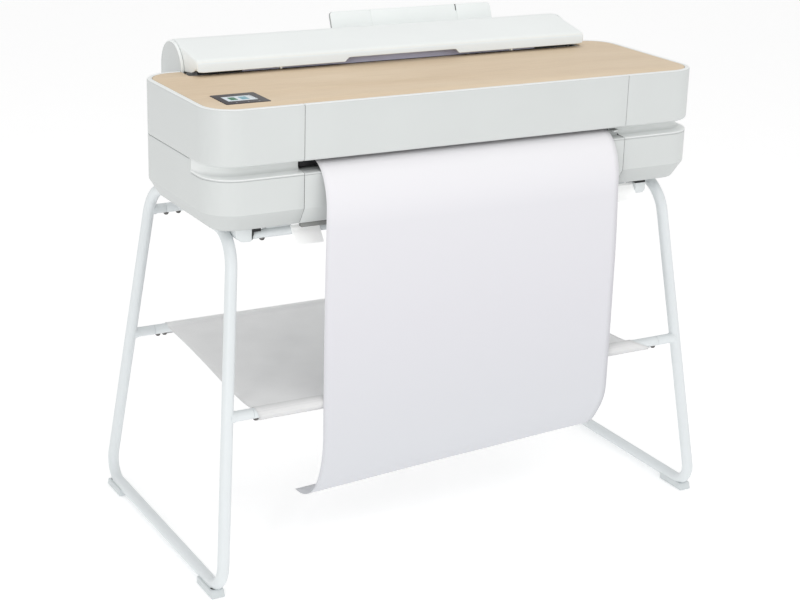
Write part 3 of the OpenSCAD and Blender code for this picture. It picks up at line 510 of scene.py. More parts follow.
def plate(shape, outer, holes, z0, z1, edge=0.4):
    """A flat plate with a small bevel round its top edges. Loops are lists of 2-D points."""
    loops = [outer if area(outer) > 0 else outer[::-1]] + [h if area(h) < 0 else h[::-1] for h in holes]
    top_ids, low_ids = [], []
    top_loops, low_loops = [], []
    for loop in loops:
        levels = ((z0, 0.0), (z1 - edge, 0.0), (z1 - edge * 0.3, edge * 0.3), (z1, edge))
        rows = [[(x, y, z) for x, y in shrunk(loop, d)] for z, d in levels]
        ids = shape.grid(rows, close_row=True)
        top_ids += ids[-1]
        low_ids += ids[0]
        top_loops.append([Vector(v) for v in rows[-1]])
        low_loops.append([Vector(v) for v in rows[0]])
    for loops3, ids in ((top_loops, top_ids), (low_loops, low_ids)):
        for tri in tessellate_polygon(loops3):
            shape.cap(ids[t] for t in tri)


# ---- Sizes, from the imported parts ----

upper_lo, upper_hi = box_mm("upper_right_cover")
HALF = upper_hi[0]
FRONT = upper_lo[1]
REAR = upper_hi[1]
CORNER = 60.0
TOP = upper_hi[2]
COVER = upper_lo[2]
BASE = box_mm("lower_right_shell")[0][2]
LEDGE = box_mm("lower_front_panel")[1][2]
SEAM_OUT = upper_lo[0]
SEAM_IN = box_mm("lower_front_panel")[1][0]
SLOPE_Z = BASE + 32.0
SLOPE_IN = 20.0
WALL = 3.0
RIM = 9.1
RECESS = 26.5
RECESS_END = -123.0
ROOM_X = 425.0
SLOT_Y = 64.0


class Station:
    """A place on the body's outline: position, outward direction and how far in the groove's wall lies."""

    def __init__(self, x, y, nx, ny, groove):
        self.x, self.y, self.nx, self.ny, self.groove = x, y, nx, ny, groove

    def at(self, inset, z):
        return (self.x - self.nx * inset, self.y - self.ny * inset, z)

    def moved(self, along):
        return Station(self.x + along, self.y, self.nx, self.ny, self.groove)


def groove_depth(x, y, nx, ny):
    """The distance inwards, along the outline's normal, to the wall behind the finger groove."""
    cx, cy = HALF - 3.0 - CORNER, FRONT + RECESS + CORNER
    if x <= cx and ny < -0.5:
        return RECESS
    if y > RECESS_END:
        return 0.0
    # Where the inward normal meets the groove's rounded corner.
    px, py, dx, dy = x - cx, y - cy, -nx, -ny
    b = px * dx + py * dy
    c = px * px + py * py - CORNER * CORNER
    disc = b * b - c
    depth = -b - math.sqrt(disc) if disc > 0 else 3.0
    if py > 0:
        depth = 3.0
    fade = ease((RECESS_END - y) / 22.0)
    return max(depth, 0.0) * fade


def half_outline(x_front, x_rear, corner_steps=20):
    """Stations of the right half, from the front seam round to x_rear on the back."""
    cx, cy0, cy1 = HALF - CORNER, FRONT + CORNER, REAR - CORNER

    def corner(cy, a0):
        turns = [math.radians(a0 + 90 * k / corner_steps) for k in range(1, corner_steps + 1)]
        ways = [(math.cos(a), math.sin(a)) for a in turns]
        return [(cx + CORNER * nx, cy + CORNER * ny, nx, ny) for nx, ny in ways]

    out = []
    for k in range(9):
        out.append((mix(x_front, cx, k / 8), FRONT, 0, -1))
    out += corner(cy0, -90)
    for y in [cy0 + 6 * i for i in range(1, 9)] + [mix(cy0 + 48, cy1, k / 6) for k in range(1, 7)]:
        out.append((HALF, y, 1, 0))
    out += corner(cy1, 0)
    for k in range(1, 7):
        out.append((mix(cx, x_rear, k / 6), REAR, 0, 1))
    return [Station(x, y, nx, ny, groove_depth(x, y, nx, ny)) for x, y, nx, ny in out]


# How a panel's edge is rounded at a seam: (distance from the seam, shrink).
SEAM_STEPS = ((0.0, 1.0), (0.29, 0.29), (1.0, 0.0))


def with_edges(stations, last=1):
    """Adds the small steps that round a panel's edge at its two seams. Gives (station, shrink) pairs.

    last is the way along X that leads from the last seam into the panel.
    """
    out = [(stations[0].moved(d), shrink) for d, shrink in SEAM_STEPS]
    out += [(s, 0.0) for s in stations[1:-1]]
    return out + [(stations[-1].moved(last * d), shrink) for d, shrink in SEAM_STEPS[::-1]]


def mirrored(rows, sx):
    return [[(sx * x, y, z) for x, y, z in row] for row in rows]


# ---- Upper covers and door ----

TOP_R = 3.4
RIM_R = 0.8


def rim_profile(s, e):
    """Over the rounded top edge, down the rim's step beside the wooden top, and back under it."""
    pts = [(u + e, TOP - e + v) for u, v in arc(TOP_R, -TOP_R, TOP_R, 180, 90, 6)]
    pts += [(u, TOP - e + v) for u, v in arc(RIM - RIM_R, -RIM_R, RIM_R, 90, 0, 3)]
    return [s.at(u, z) for u, z in pts + [(RIM, TOP - RIM), (WALL, TOP - RIM - 1)]]


def cover_profile(s, e):
    """The closed section of an upper cover: outer skin from the groove to the rim, then back inside."""
    side = 0.0 if s.ny < -0.3 else ease((s.y + 190) / 60) if s.ny < 0.9 else 1.0
    low_r = mix(6.0, 2.2, side)
    bottom = COVER + e
    inner = max(s.groove - 0.8, 5.0)
    pts = [s.at(inner, bottom + 3.0), s.at(inner, bottom)]
    pts += [s.at(max(u, 0.0) + e, bottom + v) for u, v in arc(low_r, low_r, low_r, 270, 180, 6)]
    pts += [s.at(e, COVER + 30), s.at(e, COVER + 60)]
    return pts + rim_profile(s, e) + [s.at(WALL, COVER + 8)]


def upper_cover(side, sx):
    rows = [cover_profile(s, e) for s, e in with_edges(half_outline(SEAM_OUT, ROOM_X))]
    shape = Shape()
    # The end at the front seam is dark: painted shade for the gap between the panels.
    shape.solid(mirrored(rows, sx), caps=(2, 0))
    # The wall beside the roll, and the ear that holds the door's pin.
    x0, x1 = either_side(sx, ROOM_X, ROOM_X + 2)
    soft_block(shape, (x0, SLOT_Y - 2, COVER + 9), (x1, REAR - 1, TOP - 3), 0.5)
    x0, x1 = either_side(sx, SEAM_OUT, SEAM_OUT + 4)
    soft_block(shape, (x0, FRONT + 2.6, COVER + 2.6), (x1, FRONT + 18, COVER + 16), 0.5)
    # The rim's top beside the wooden top gets the lighter copy: a painted highlight.
    shape.recolour(1, lambda x, y, z: z > TOP - 1.6)
    shape.make("upper_cover_" + side, ["cover_white", "cover_white.rim_highlight", "dark_plastic"], "body",
               [f"upper_{side}_cover"])


upper_cover("left", -1)
upper_cover("right", 1)


def straight_stations(half, count=12):
    return [Station(mix(-half, half, k / count), FRONT, 0, -1, RECESS) for k in range(count + 1)]


def front_door():
    shape = Shape()
    rows = []
    for s, e in with_edges(straight_stations(SEAM_IN), last=-1):
        pts = [s.at(RIM, COVER + 3.0), s.at(RIM - 0.5, COVER + e)]
        pts += [s.at(u + e, COVER + e + v) for u, v in arc(6.0, 6.0, 6.0, 270, 180, 6)]
        pts += [s.at(e, COVER + 30), s.at(e, COVER + 60)]
        rows.append(pts + rim_profile(s, e) + [s.at(WALL, COVER + 3.2)])
    # Both ends at the seams are dark: painted shade for the gaps between the panels.
    shape.solid(rows, caps=(2, 2))
    # Stiffening ribs on the inside, and the two pins.
    for k in range(-5, 6):
        x = k * 60.0
        soft_block(shape, (x - 1, FRONT + 2.6, COVER + 6), (x + 1, FRONT + 7.5, TOP - 9.6), 0.4)
    soft_block(shape, (-SEAM_IN + 4, FRONT + 2.6, COVER + 50), (SEAM_IN - 4, FRONT + 6.5, COVER + 52), 0.4)
    for sx in (-1, 1):
        x = sx * (SEAM_IN - 7.7)
        soft_block(shape, (x - 2, FRONT + 2, COVER + 3), (x + 2, FRONT + 15, COVER + 13), 0.8)
        x0, x1 = sorted((x, sx * (SEAM_IN + 4)))
        bar(shape, x0, x1, FRONT + 10, COVER + 8, 2.0, 16, 0.3)
    # The rim's top beside the wooden top gets the lighter copy: a painted highlight.
    shape.recolour(1, lambda x, y, z: z > TOP - 1.6)
    shape.make("front_door_panel", ["cover_white", "cover_white.rim_highlight", "dark_plastic"], "door", ["front_door"])


front_door()


# ---- Lower shells ----

FINE_CUT = 1.3


def slope_profile(e, flat):
    """The flat bottom's edge, the slope with a soft corner below and above it, and the front face."""
    corners = [(SLOPE_IN + flat, BASE + e), (SLOPE_IN + e * 0.5, BASE + e), (e, SLOPE_Z), (e, LEDGE - 12)]
    return rounded(corners, [0, 6, 7, 0], 5, closed=False)


def slope_inside(flat):
    return [(WALL, SLOPE_Z + 2), (SLOPE_IN + WALL, BASE + WALL), (SLOPE_IN + flat, BASE + WALL)]


def fine_line(e, cut):
    """The fine line cut below the ledge, and the face above it."""
    return [(e + u, LEDGE - down) for u, down in ((0, 4.2), (cut, 4.1), (cut, 3.1), (0, 3.0), (0, 1.2))]


def lower_profile(s, e):
    """The closed section of a lower shell, from its bottom edge to the top of the wall behind the groove."""
    g = max(s.groove, e)
    open_by = ease(s.groove / 2.5)
    # Above the front face: a fine line, the ledge and the wall behind it. Where the groove
    # has closed, the same points run straight up the side wall.
    edge = min(1.2, s.groove * 0.4)
    r = min(6.0, s.groove * 0.45)
    ledge = fine_line(e, FINE_CUT * open_by)
    ledge += [(e + edge * 0.25, LEDGE - 0.5), (e + edge, LEDGE - e * 0.3),
              (e + mix(edge, g - r, 0.5), LEDGE + 0.5)]
    ledge += arc(g - r, LEDGE + 1.0 + r, r, -90, 0, 5)
    wall = [(e, mix(LEDGE - 8, COVER - 4, k / 13)) for k in range(14)]
    pts = slope_profile(e, 10)
    pts += [(mix(w[0], f[0], open_by), mix(w[1], f[1], open_by)) for w, f in zip(wall, ledge)]
    top = mix(COVER - 0.45, COVER + 6, open_by)
    pts += [(g, top - 1.2), (g + 0.35, top - 0.35), (g + 1.2, top), (g + 2.6, top), (g + 2.6, LEDGE - 4)]
    return [s.at(u, z) for u, z in pts + slope_inside(10)]


def lower_shell(side, sx):
    rows = mirrored([lower_profile(s, e) for s, e in with_edges(half_outline(SEAM_OUT, SEAM_OUT))], sx)
    shape = Shape()
    # The end at the front seam is dark: painted shade for the gap between the panels.
    shape.solid(rows, caps=(2, 0))
    # The flat bottom, closed inside the ring of the slope.
    shape.cap(shape.put([row[0] for row in rows]))
    shape.cap(shape.put([row[-1] for row in rows])[::-1])
    # The slope below the front face gets the darker copy: painted shade.
    shape.recolour(4, lambda x, y, z: z < SLOPE_Z + 1.0)
    # The wall behind the finger groove gets the lighter copy: painted light against its shade.
    shape.recolour(3, lambda x, y, z: z > LEDGE + 0.4 and y < RECESS_END - 8)
    # The ledge's top band gets the lighter copy: a painted highlight.
    shape.recolour(1, lambda x, y, z: LEDGE - 1.3 < z < LEDGE + 1.1 and y < RECESS_END - 8)
    shape.make("lower_shell_" + side, ["cover_white", "cover_white.rim_highlight", "dark_plastic", "cover_white.groove_painted_light",
                                       "cover_white.slope_painted_shade"], "body", [f"lower_{side}_shell"])


lower_shell("left", -1)
lower_shell("right", 1)


def front_panel():
    """The lower middle panel below the paper outlet."""
    shape = Shape()
    rows = []
    for s, e in with_edges(straight_stations(SEAM_IN), last=-1):
        section = slope_profile(e, 12) + fine_line(e, FINE_CUT)
        section += [(e + 0.3, LEDGE - 0.5), (e + 1.2, LEDGE - e * 0.3), (20, LEDGE), (36, LEDGE),
                    (36.6, LEDGE - 0.6), (36.6, LEDGE - 3), (WALL, LEDGE - 3)]
        rows.append([s.at(u, z) for u, z in section + slope_inside(12)])
    # Both ends at the seams are dark: painted shade for the gaps between the panels.
    shape.solid(rows, caps=(1, 1))
    shape.make("front_lower_panel", ["cover_white", "dark_plastic"], "body", ["lower_front_panel"])


def outlet_end_guide():
    """The small white tab at the right end of the paper outlet."""
    shape = Shape()
    soft_block(shape, (SEAM_IN - 22, FRONT + 24, LEDGE - 1), (SEAM_IN - 0.5, FRONT + 31, COVER - 1.5))
    soft_block(shape, (SEAM_IN - 20, FRONT + 9, COVER - 10), (SEAM_IN - 8, FRONT + 30, COVER - 6.5))
    shape.make("outlet_end_guide", "cover_white", "body")


def front_rail():
    shape = Shape()
    soft_block(shape, *box_mm("base_rail"), 1.5, steps=3)
    shape.make("front_rail", "rail_grey", "body", ["base_rail"])


front_panel()
outlet_end_guide()
front_rail()


# ---- Wooden top and screen ----

screen_lo, screen_hi = box_mm("screen_bezel")


def wood():
    right = [(s.x - s.nx * (RIM + 0.8), s.y - s.ny * (RIM + 0.8)) for s in half_outline(0.0, ROOM_X + 3)[1:]]
    slot = rounded([(ROOM_X + 0.5, REAR - 8), (ROOM_X + 0.5, SLOT_Y), (0, SLOT_Y)], [0, 7, 0], 5,
                   closed=False)
    half = right + slot[:-1]
    loop = half + [(-x, y) for x, y in half[::-1]]
    hole = rect(screen_lo[0] - 0.3, screen_hi[0] + 0.3, screen_lo[1] - 0.3, screen_hi[1] + 0.3, 2.5)
    shape = Shape()
    plate(shape, loop, [hole], TOP - 5, TOP - 0.25, 0.5)
    shape.make("wooden_top", "wood", "body", ["wood_top"])


def screen():
    (bx0, by0), (bx1, by1) = screen_lo[:2], screen_hi[:2]
    shape = Shape()
    plate(shape, rect(bx0, bx1, by0, by1, 2.5), [], TOP - 5, screen_hi[2], 0.5)
    shape.make("screen_bezel_plate", "screen_black", "body", ["screen_bezel"])
    glass_lo, glass_hi = box_mm("screen_glass")
    z = screen_hi[2] - 0.02
    x0, y0 = glass_lo[:2]
    shown = Shape()
    plate(shown, rect(x0 + 1, glass_hi[0] - 4, y0 + 2, glass_hi[1] - 2, 0.6), [], z - 0.6, z + 0.06, 0.05)
    shown.make("screen_display", "screen_glass", "body", ["screen_glass"])
    for colour, x, y, w, d in (("green", 9, 9, 13, 21), ("teal", 29, 9, 14, 21)):
        tile = Shape()
        plate(tile, rect(x0 + x, x0 + x + w, y0 + y, y0 + y + d, 1.5), [], z - 0.2, z + 0.12, 0.04)
        tile.make("screen_tile_" + colour, "screen_glass." + colour, "body")
    marks = Shape()
    for x in (-20, 2, 22):
        c = (bx0 + bx1) / 2 + x
        plate(marks, rect(c - 1.6, c + 1.6, by0 + 6.2, by0 + 8.6, 0.8, 3), [], z, screen_hi[2] + 0.05, 0.02)
    marks.make("screen_keys", "screen_black.key", "body")


wood()
screen()


# ---- Roll cover, cheeks and sheet support ----

roll_lo, roll_hi = box_mm("paper_roll")
ROLL_Y = (roll_lo[1] + roll_hi[1]) / 2
ROLL_Z = (roll_lo[2] + roll_hi[2]) / 2
HOOD_R = 52.8
HOOD_T = 1.1
HOOD_HALF = 418.5
LIP_Y = 47.0
LIP_BACK = ROLL_Y - LIP_Y
LIP_LOW = 10.0
LIP_HIGH = 32.0
LIP_END_R = 9.0
HOOD_END_R = 4.5
OUTER_STEPS = 26
LIP_STEPS = 8
FINGER_LEFT, FINGER_RIGHT = -117.0, 125.0


def hood_section(e, lift):
    """The roll cover's closed section, measured from the roll axis as (y, z): outer skin, then inner."""
    reach = math.hypot(LIP_BACK, LIP_HIGH)
    at = 180 - math.degrees(math.atan2(LIP_HIGH, LIP_BACK) + math.acos(HOOD_R / reach))
    outer = arc(0, 0, HOOD_R - e, -0.5, at, OUTER_STEPS)
    lip = rounded([outer[-1], (-LIP_BACK + e, LIP_HIGH - e * 1.1), (-LIP_BACK + e, LIP_LOW + e + lift),
                   (-LIP_BACK + 3.2, LIP_LOW + e + lift)], [0, 9.0, 1.8, 0], LIP_STEPS, closed=False)
    t = HOOD_T + e
    inner = arc(0, 0, HOOD_R - max(HOOD_T + e * 0.2, e + 0.4), at, -0.5, OUTER_STEPS)
    back = [(-LIP_BACK + 3.2, LIP_LOW + 2.5 + lift), (-LIP_BACK + t + 0.5, LIP_LOW + 3.5 + lift),
            (-LIP_BACK + t + 0.5, LIP_HIGH - t - 5), (-LIP_BACK + t + 5, LIP_HIGH - t - 0.8)]
    return outer + lip[1:] + back + inner


def hood_ribbon():
    """Where the roll cover's sections stand along X, each with its shrink at the rounded ends."""
    ends = quarter(HOOD_END_R, 5)
    left = [-405 + k * 9 for k in range(4)] + [-370 + k * 30 for k in range(8)]
    finger = [k * 8.0 for k in range(-16, 17)]
    right = [160 + k * 30 for k in range(8)] + [378 + k * 9 for k in range(4)]
    middle = sorted(set(left + finger + right))
    return ([(d - HOOD_HALF, e) for d, e in ends] + [(x, 0.0) for x in middle] +
            [(HOOD_HALF - d, e) for d, e in ends[::-1]])


def hood_end(shape, sx):
    """An end wall on the outline's inside, and the ear with its pin."""
    rows = []
    # Distance from the end, shrink, and the height of the wall's tip above the roll's axis.
    for d, e, tip in ((0.05, 4.3, 22.3), (0.5, 2.8, 18.7), (1.5, 1.6, 15.5), (2.4, 1.5, 13.8)):
        top = hood_section(e, 0.0)[:OUTER_STEPS + 1 + LIP_STEPS + 1]
        low = rounded([top[-1], (-LIP_BACK + e, tip), (-LIP_BACK + 10, 12.8), (-LIP_BACK + 24, 7.0),
                       (-LIP_BACK * 0.45, 2.6), (0, 1.5), (HOOD_R - e, 1.5)],
                      [0, 2, 5, 8, 0, 0, 0], 6, closed=False)
        rows.append([(sx * (HOOD_HALF - d), ROLL_Y + y, ROLL_Z + max(z, 1.5)) for y, z in top + low[1:]])
    shape.solid(rows)
    x0, x1 = either_side(sx, HOOD_HALF - 3, HOOD_HALF - 0.05)
    bar(shape, x0, x1, ROLL_Y, ROLL_Z, 12, 32, 0.4)
    x0, x1 = either_side(sx, HOOD_HALF - 1, HOOD_HALF + 3.4)
    bar(shape, x0, x1, ROLL_Y, ROLL_Z, 4, 24, 0.4)


def hinge_arm(shape, x):
    """An arm on the roll cover's back that carries a barrel of the sheet support's hinge."""
    arm = Vector((math.cos(SUPPORT_RISE), math.sin(SUPPORT_RISE)))
    side = Vector((-arm.y, arm.x))
    half = [(54.0, 4.5), (58.0, 3.2), (SUPPORT_ARM, 3.6)]
    loop = [arm * out - side * w for out, w in half] + [arm * out + side * w for out, w in half[::-1]]
    shape.solid([[(x + dx, ROLL_Y + v.x, ROLL_Z + v.y) for v in loop] for dx in (-6.8, 6.8)])
    bar(shape, x - 7, x + 7, SUPPORT_Y, SUPPORT_Z, 4.0, 24, 0.5)


def hood():
    shape = Shape()
    rows = []
    for x, e in hood_ribbon():
        far = max(abs(x) - (HOOD_HALF - LIP_END_R), 0.0)
        corner = LIP_END_R - math.sqrt(max(LIP_END_R ** 2 - far * far, 0.0))
        finger = 8.0 * ease((min(FINGER_RIGHT - x, x - FINGER_LEFT) + 3) / 9.0)
        rows.append([(x, ROLL_Y + y, ROLL_Z + z) for y, z in hood_section(e, min(corner, 7.5) + finger)])
    shape.grid(rows, close_row=True)
    for sx in (-1, 1):
        hood_end(shape, sx)
    # The tabs under the lip.
    lip_z = ROLL_Z + LIP_LOW
    for x in (-250, 250):
        soft_block(shape, (x - 2, LIP_Y + 3.5, lip_z - 3.8), (x + 2, LIP_Y + 12, lip_z + 4), 0.8)
    for x in HINGE_XS:
        hinge_arm(shape, x)
    # The flat front of the lip gets the blue-tinted, faintly glowing copy: painted light.
    shape.recolour(1, lambda x, y, z: y < LIP_Y + 0.8)
    shape.make("roll_cover_shell", ["lid_white", "lid_white.lip_painted_light"], "lid", ["roll_cover"])


SUPPORT_ARM = 64.4
SUPPORT_RISE = math.radians(27.8)
SUPPORT_Y = ROLL_Y + SUPPORT_ARM * math.cos(SUPPORT_RISE)
SUPPORT_Z = ROLL_Z + SUPPORT_ARM * math.sin(SUPPORT_RISE)
SUPPORT_LEAN = math.radians(22.9)
HINGE_XS = (-40, 270)


CHEEK_R = 51.4
CHEEK_RIM = 1.6


def cheek(side, sx):
    """The flat end cheek beside the roll cover: a D on its back, with a rounded rim."""
    x_in, x_out = HOOD_HALF + 0.5, HOOD_HALF + 5.5

    def outline(d):
        w, low = CHEEK_R - d, -50 + d
        return arc(0, 0, w, 0, 180, 36) + [(-w, -20), (-w, low), (-20, low), (20, low), (w, low), (w, -20)]

    steps = [(x_in, 0.4), (x_in + 0.4, 0.0), (x_out - CHEEK_RIM, 0.0)]
    steps += [(x_out - along, inset) for along, inset in quarter(CHEEK_RIM, 5)[-2::-1]]
    steps += [(x_out, 2.4), (x_out - 0.2, 2.7), (x_out - 0.6, 3.0), (x_out - 0.6, 6.0)]
    shape = Shape()
    rows = [[(sx * x, ROLL_Y + y, ROLL_Z + z) for y, z in outline(d)] for x, d in steps]
    n = len(rows)
    ids = shape.grid(rows[:n - 3], close_row=True, kind=1)
    inner = shape.grid(rows[n - 4:], close_row=True, kind=0)
    shape.cap(ids[0][::-1], 0)
    shape.cap(inner[-1], 0)
    return shape.make("roll_cheek_" + side, ["cheek_grey", "cheek_grey.rim"], "body")


def support_frame(points):
    """From the sheet support's own axes (x, behind, up) to the row frame, in millimetres."""
    c, w = math.cos(SUPPORT_LEAN), math.sin(SUPPORT_LEAN)
    return [(x, SUPPORT_Y + y * c + z * w, SUPPORT_Z - y * w + z * c) for x, y, z in points]


def panel_between(shape, x0, x1, z0, z1, y0, y1, r_top, edge=0.9):
    """A flat panel in the sheet support's axes, with rounded top corners and soft edges."""
    def loop(d):
        r_low = max(1.5 - d, 0.3)
        return rect(x0 + d, x1 - d, z0 + d, z1 - d, [r_low, r_low, r_top - d, r_top - d], 6)
    soft = quarter(edge, 2)
    rows = [[(x, y0 + back, z) for x, z in loop(d)] for d, back in soft[::-1]]
    rows += [[(x, y1 - back, z) for x, z in loop(d)] for d, back in soft]
    shape.solid([support_frame(row) for row in rows])


def sheet_support():
    shape = Shape()
    panel_between(shape, -62, 305, 6, 45.2, 0.3, 2.5, 8.0)
    panel_between(shape, -62, 26.85, 6, 45.2, -1.5, 1.0, 8.0, 0.25)
    panel_between(shape, 223.3, 305, 6, 45.2, -1.5, 1.0, 8.0, 0.25)
    panel_between(shape, 20, 230, 6, 9.8, -1.5, 1.0, 0.8, 0.5)
    for x in (-53, -27, 257, 283):
        bar(shape, x - 4, x + 4, SUPPORT_Y, SUPPORT_Z, 4.0, 24, 0.4)
        corners = ((-1.5, 0), (-1.5, 7), (2.4, 7), (2.4, 0))
        ids = shape.grid([support_frame([(x - 4, y, z), (x + 4, y, z)]) for y, z in corners], close_all=True)
        shape.cap([r[0] for r in ids])
        shape.cap([r[1] for r in ids][::-1])
    for x in HINGE_XS:
        bar(shape, x - 13, x + 13, SUPPORT_Y, SUPPORT_Z, 2.0, 16, 0.2)
    shape.make("sheet_support_panel", "lid_white", "support", ["sheet_support"])
    side = Shape()
    outer = [(-62.1, 8.0), (-62.1, 38.5), (-60.9, 42.5), (-56.5, 45.3)]
    inner = [(-55.5, 43.5), (-59.6, 41.0), (-60.7, 38.0), (-60.7, 8.0)]
    side.solid([support_frame([(x, y, z) for x, z in outer + inner]) for y in (0.9, 6.2)])
    side.make("sheet_support_side", "lid_white.edge", "support")
    slide = Shape()
    panel_between(slide, 27, 223, 10.3, 45.2, -1.5, 0.2, 0.8, 0.25)
    slide.make("sheet_extension_panel", "lid_white", "support_slide", ["sheet_extension"])
    notch = Shape()
    panel_between(notch, 221.0, 223.1, 31.0, 44.9, -1.62, -0.8, 0.6, 0.2)
    notch.make("sheet_extension_notch", "dark_plastic", "support_slide")


def slot_guide():
    """The curved guide that turns a sheet down into the slot, seen under the roll cover's lip."""
    back = [(9, -1.2), (10, 2.5), (13, 8), (18, 13)]
    front = [(20, 12), (15, 6.5), (12.5, 1), (11.5, -1.2)]
    foot = [(9, -6), (9, -1.4), (11.5, -1.4), (11.5, -6)]
    # The grey guide spans the paper; its foot and its two ends are black, a painted shadow for the deep shade
    # in the slot under the lip.
    curve = back + front
    painted_shadow = [(foot, -318, 318), (curve, -405, -318.3), (curve, 318.3, 405)]
    for name, finish, spans in (("sheet_guide", "slot_grey.guide", [(curve, -318, 318)]),
                                ("sheet_guide_carrier", "dark_plastic", painted_shadow)):
        shape = Shape()
        for loop, x0, x1 in spans:
            shape.solid([[(x, SLOT_Y + y, TOP + z) for y, z in loop] for x in (x0, x1)])
        shape.make(name, finish, "body")


slot_guide()
hood()
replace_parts(cheek("left", -1), "roll_cheeks")
cheek("right", 1)
sheet_support()


# ---- Stand ----

# The side frames lean inwards: their middle line's X at the floor, and its run for each millimetre of height.
LEG_X = 518
LEG_RUN = 0.101
LEAN = math.atan(LEG_RUN)


def leg_x(z):
    return LEG_X - LEG_RUN * z


def front_leg_y(z):
    return -284.9 + 0.154 * z


def rear_leg_y(z):
    return 290.8 - 0.165 * z


TUBE_R = 10.8
FOOT_BEND = 42.0
TOP_BEND = 70.0
BASKET_Z = 327.0
BRACE_Z = 587.0
# Each bar across the stand: y, z and radius.
BAR_R = 9.7
FRONT_ROD = (front_leg_y(BASKET_Z), BASKET_Z, BAR_R)
REAR_ROD = (rear_leg_y(BASKET_Z), BASKET_Z, BAR_R)
BRACE_ROD = (rear_leg_y(BRACE_Z), BRACE_Z, 9.4)
UPPER_Y, UPPER_Z, UPPER_R = UPPER_ROD = (-170.0, 632.0, 8.0)


def side_frame(side, sx):
    k = 1 / math.cos(LEAN)
    low, high = 16.0, 641.0
    corners = [(front_leg_y(low), low * k), (rear_leg_y(low), low * k), (rear_leg_y(high), high * k),
               (front_leg_y(high), high * k)]
    flat = rounded(corners, [FOOT_BEND, FOOT_BEND, TOP_BEND, TOP_BEND], 12)
    line = [(sx * (LEG_X - v * math.sin(LEAN)), u, v * math.cos(LEAN)) for u, v in flat]
    shape = Shape()
    sweep_tube(shape, line, TUBE_R, 32, closed=True)
    for (y, z, r), seam in ((FRONT_ROD, 437.6), (REAR_ROD, 437.0), (BRACE_ROD, 426.0)):
        a, b = seam + 0.15, leg_x(z) - 4
        # The stub flares a little where it is welded to the leg.
        xs = (a, a + 0.2, a + 0.7, b - 13, b - 10.5, b - 8.8, b)
        radii = [r + more for more in (-0.5, -0.15, 0, 0, 0.3, 1.1, 1.6)]
        sweep_tube(shape, [(sx * x, y, z) for x in xs], radii, 32)
    shape.make("leg_frame_" + side, "tube_white", "body", ["side_frame_" + side])


def cross_bar(name, half, rod, node):
    shape = Shape()
    bar(shape, -half, half, *rod, 32, 0.5)
    shape.make(name, "tube_white", "body", [node])


def dome(shape, x, y, z, r=5.2, h=3.4):
    """A button-head screw seen from below, with its hexagon socket."""
    head = [(r, 3.0), (r, 0.2), (r * 0.96, -0.6), (r * 0.82, -h * 0.62), (r * 0.6, -h * 0.93), (r * 0.52, -h)]
    socket = [(r * 0.46, -h), (r * 0.44, -h + 0.2), (r * 0.42, -h + 2.0)]
    turns = [2 * math.pi * k / 24 for k in range(24)]
    shape.solid([[(x + q * math.cos(a), y + q * math.sin(a), z + dz) for a in turns]
                 for q, dz in head + socket])


def upper_bar():
    """The thin bar under the body's front, with the two blocks that hold it."""
    shape = Shape()
    bar(shape, -412, 402, *UPPER_ROD, 32, 2.5)
    for x in (-382, 334):
        soft_block(shape, (x, UPPER_Y - 1, UPPER_Z + 2), (x + 48, UPPER_Y + 19, BASE - 0.1), 1.2)
    shape.make("upper_bar", "tube_white", "body", ["upper_front_bar"])


def screws():
    shape = Shape()
    places = ((431, FRONT_ROD), (429, REAR_ROD), (415, REAR_ROD), (424, BRACE_ROD), (399, BRACE_ROD))
    for x, (y, z, r) in [(sx * x, rod) for sx in (-1, 1) for x, rod in places] + [(-390, UPPER_ROD)]:
        dome(shape, x, y, z - r - 0.6)
    shape.make("stand_screws", "steel.screw", "body", ["stand_bolts"])


def bracket(name, x0, x1, low, top, outer, inner, half=17.0):
    """A moulded cap on the upper bar, its lower corners rounded: outer and inner are their radii."""
    rows = []
    steps = ((0.0, 1.6), (0.5, 0.5), (1.6, 0.0))
    levels = [(along - half, d) for along, d in steps] + [(half - along, d) for along, d in steps[::-1]]
    for dy, d in levels:
        loop = rect(x0 + d, x1 - d, low + d, top, [outer - d, max(inner - d, 0.5), 0.4, 0.4], 8)
        rows.append([(x, UPPER_Y + dy, z) for x, z in loop])
    shape = Shape()
    shape.solid(rows)
    return shape.make(name, "cheek_grey.bracket", "body")


def bar_ends():
    """The left bracket reaches to the leg; the right one is a short cap on the bar's end."""
    piece = bracket("bar_bracket_left", -447.0, -416.0, UPPER_Z - 7.5, BASE - 0.2, 18, 4)
    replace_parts(piece, "bar_brackets")
    # A black block round the bar's end: painted shadow for the gap in the bracket's recess.
    socket = Shape()
    soft_block(socket, (-415.9, UPPER_Y - 14, UPPER_Z + 8.6), (-398, UPPER_Y + 16, BASE - 5), 0.6)
    for dy, dz in ((0, 0), (-3, 6)):
        bar(socket, -415.9, -411.2, UPPER_Y + dy, UPPER_Z + dz, 10.5, 28, 0.6)
    socket.make("bar_end_painted_shadow_left", "rubber", "body")
    bracket("bar_bracket_right", 396.0, 420.0, UPPER_Z - 10, BASE - 9.5, 5, 9)
    # A black block over the bracket: painted shadow for the gap below the body.
    socket = Shape()
    soft_block(socket, (397, UPPER_Y - 16.6, BASE - 9.4), (419, UPPER_Y + 15, BASE - 0.8), 0.6)
    socket.make("bar_end_painted_shadow_right", "rubber", "body")


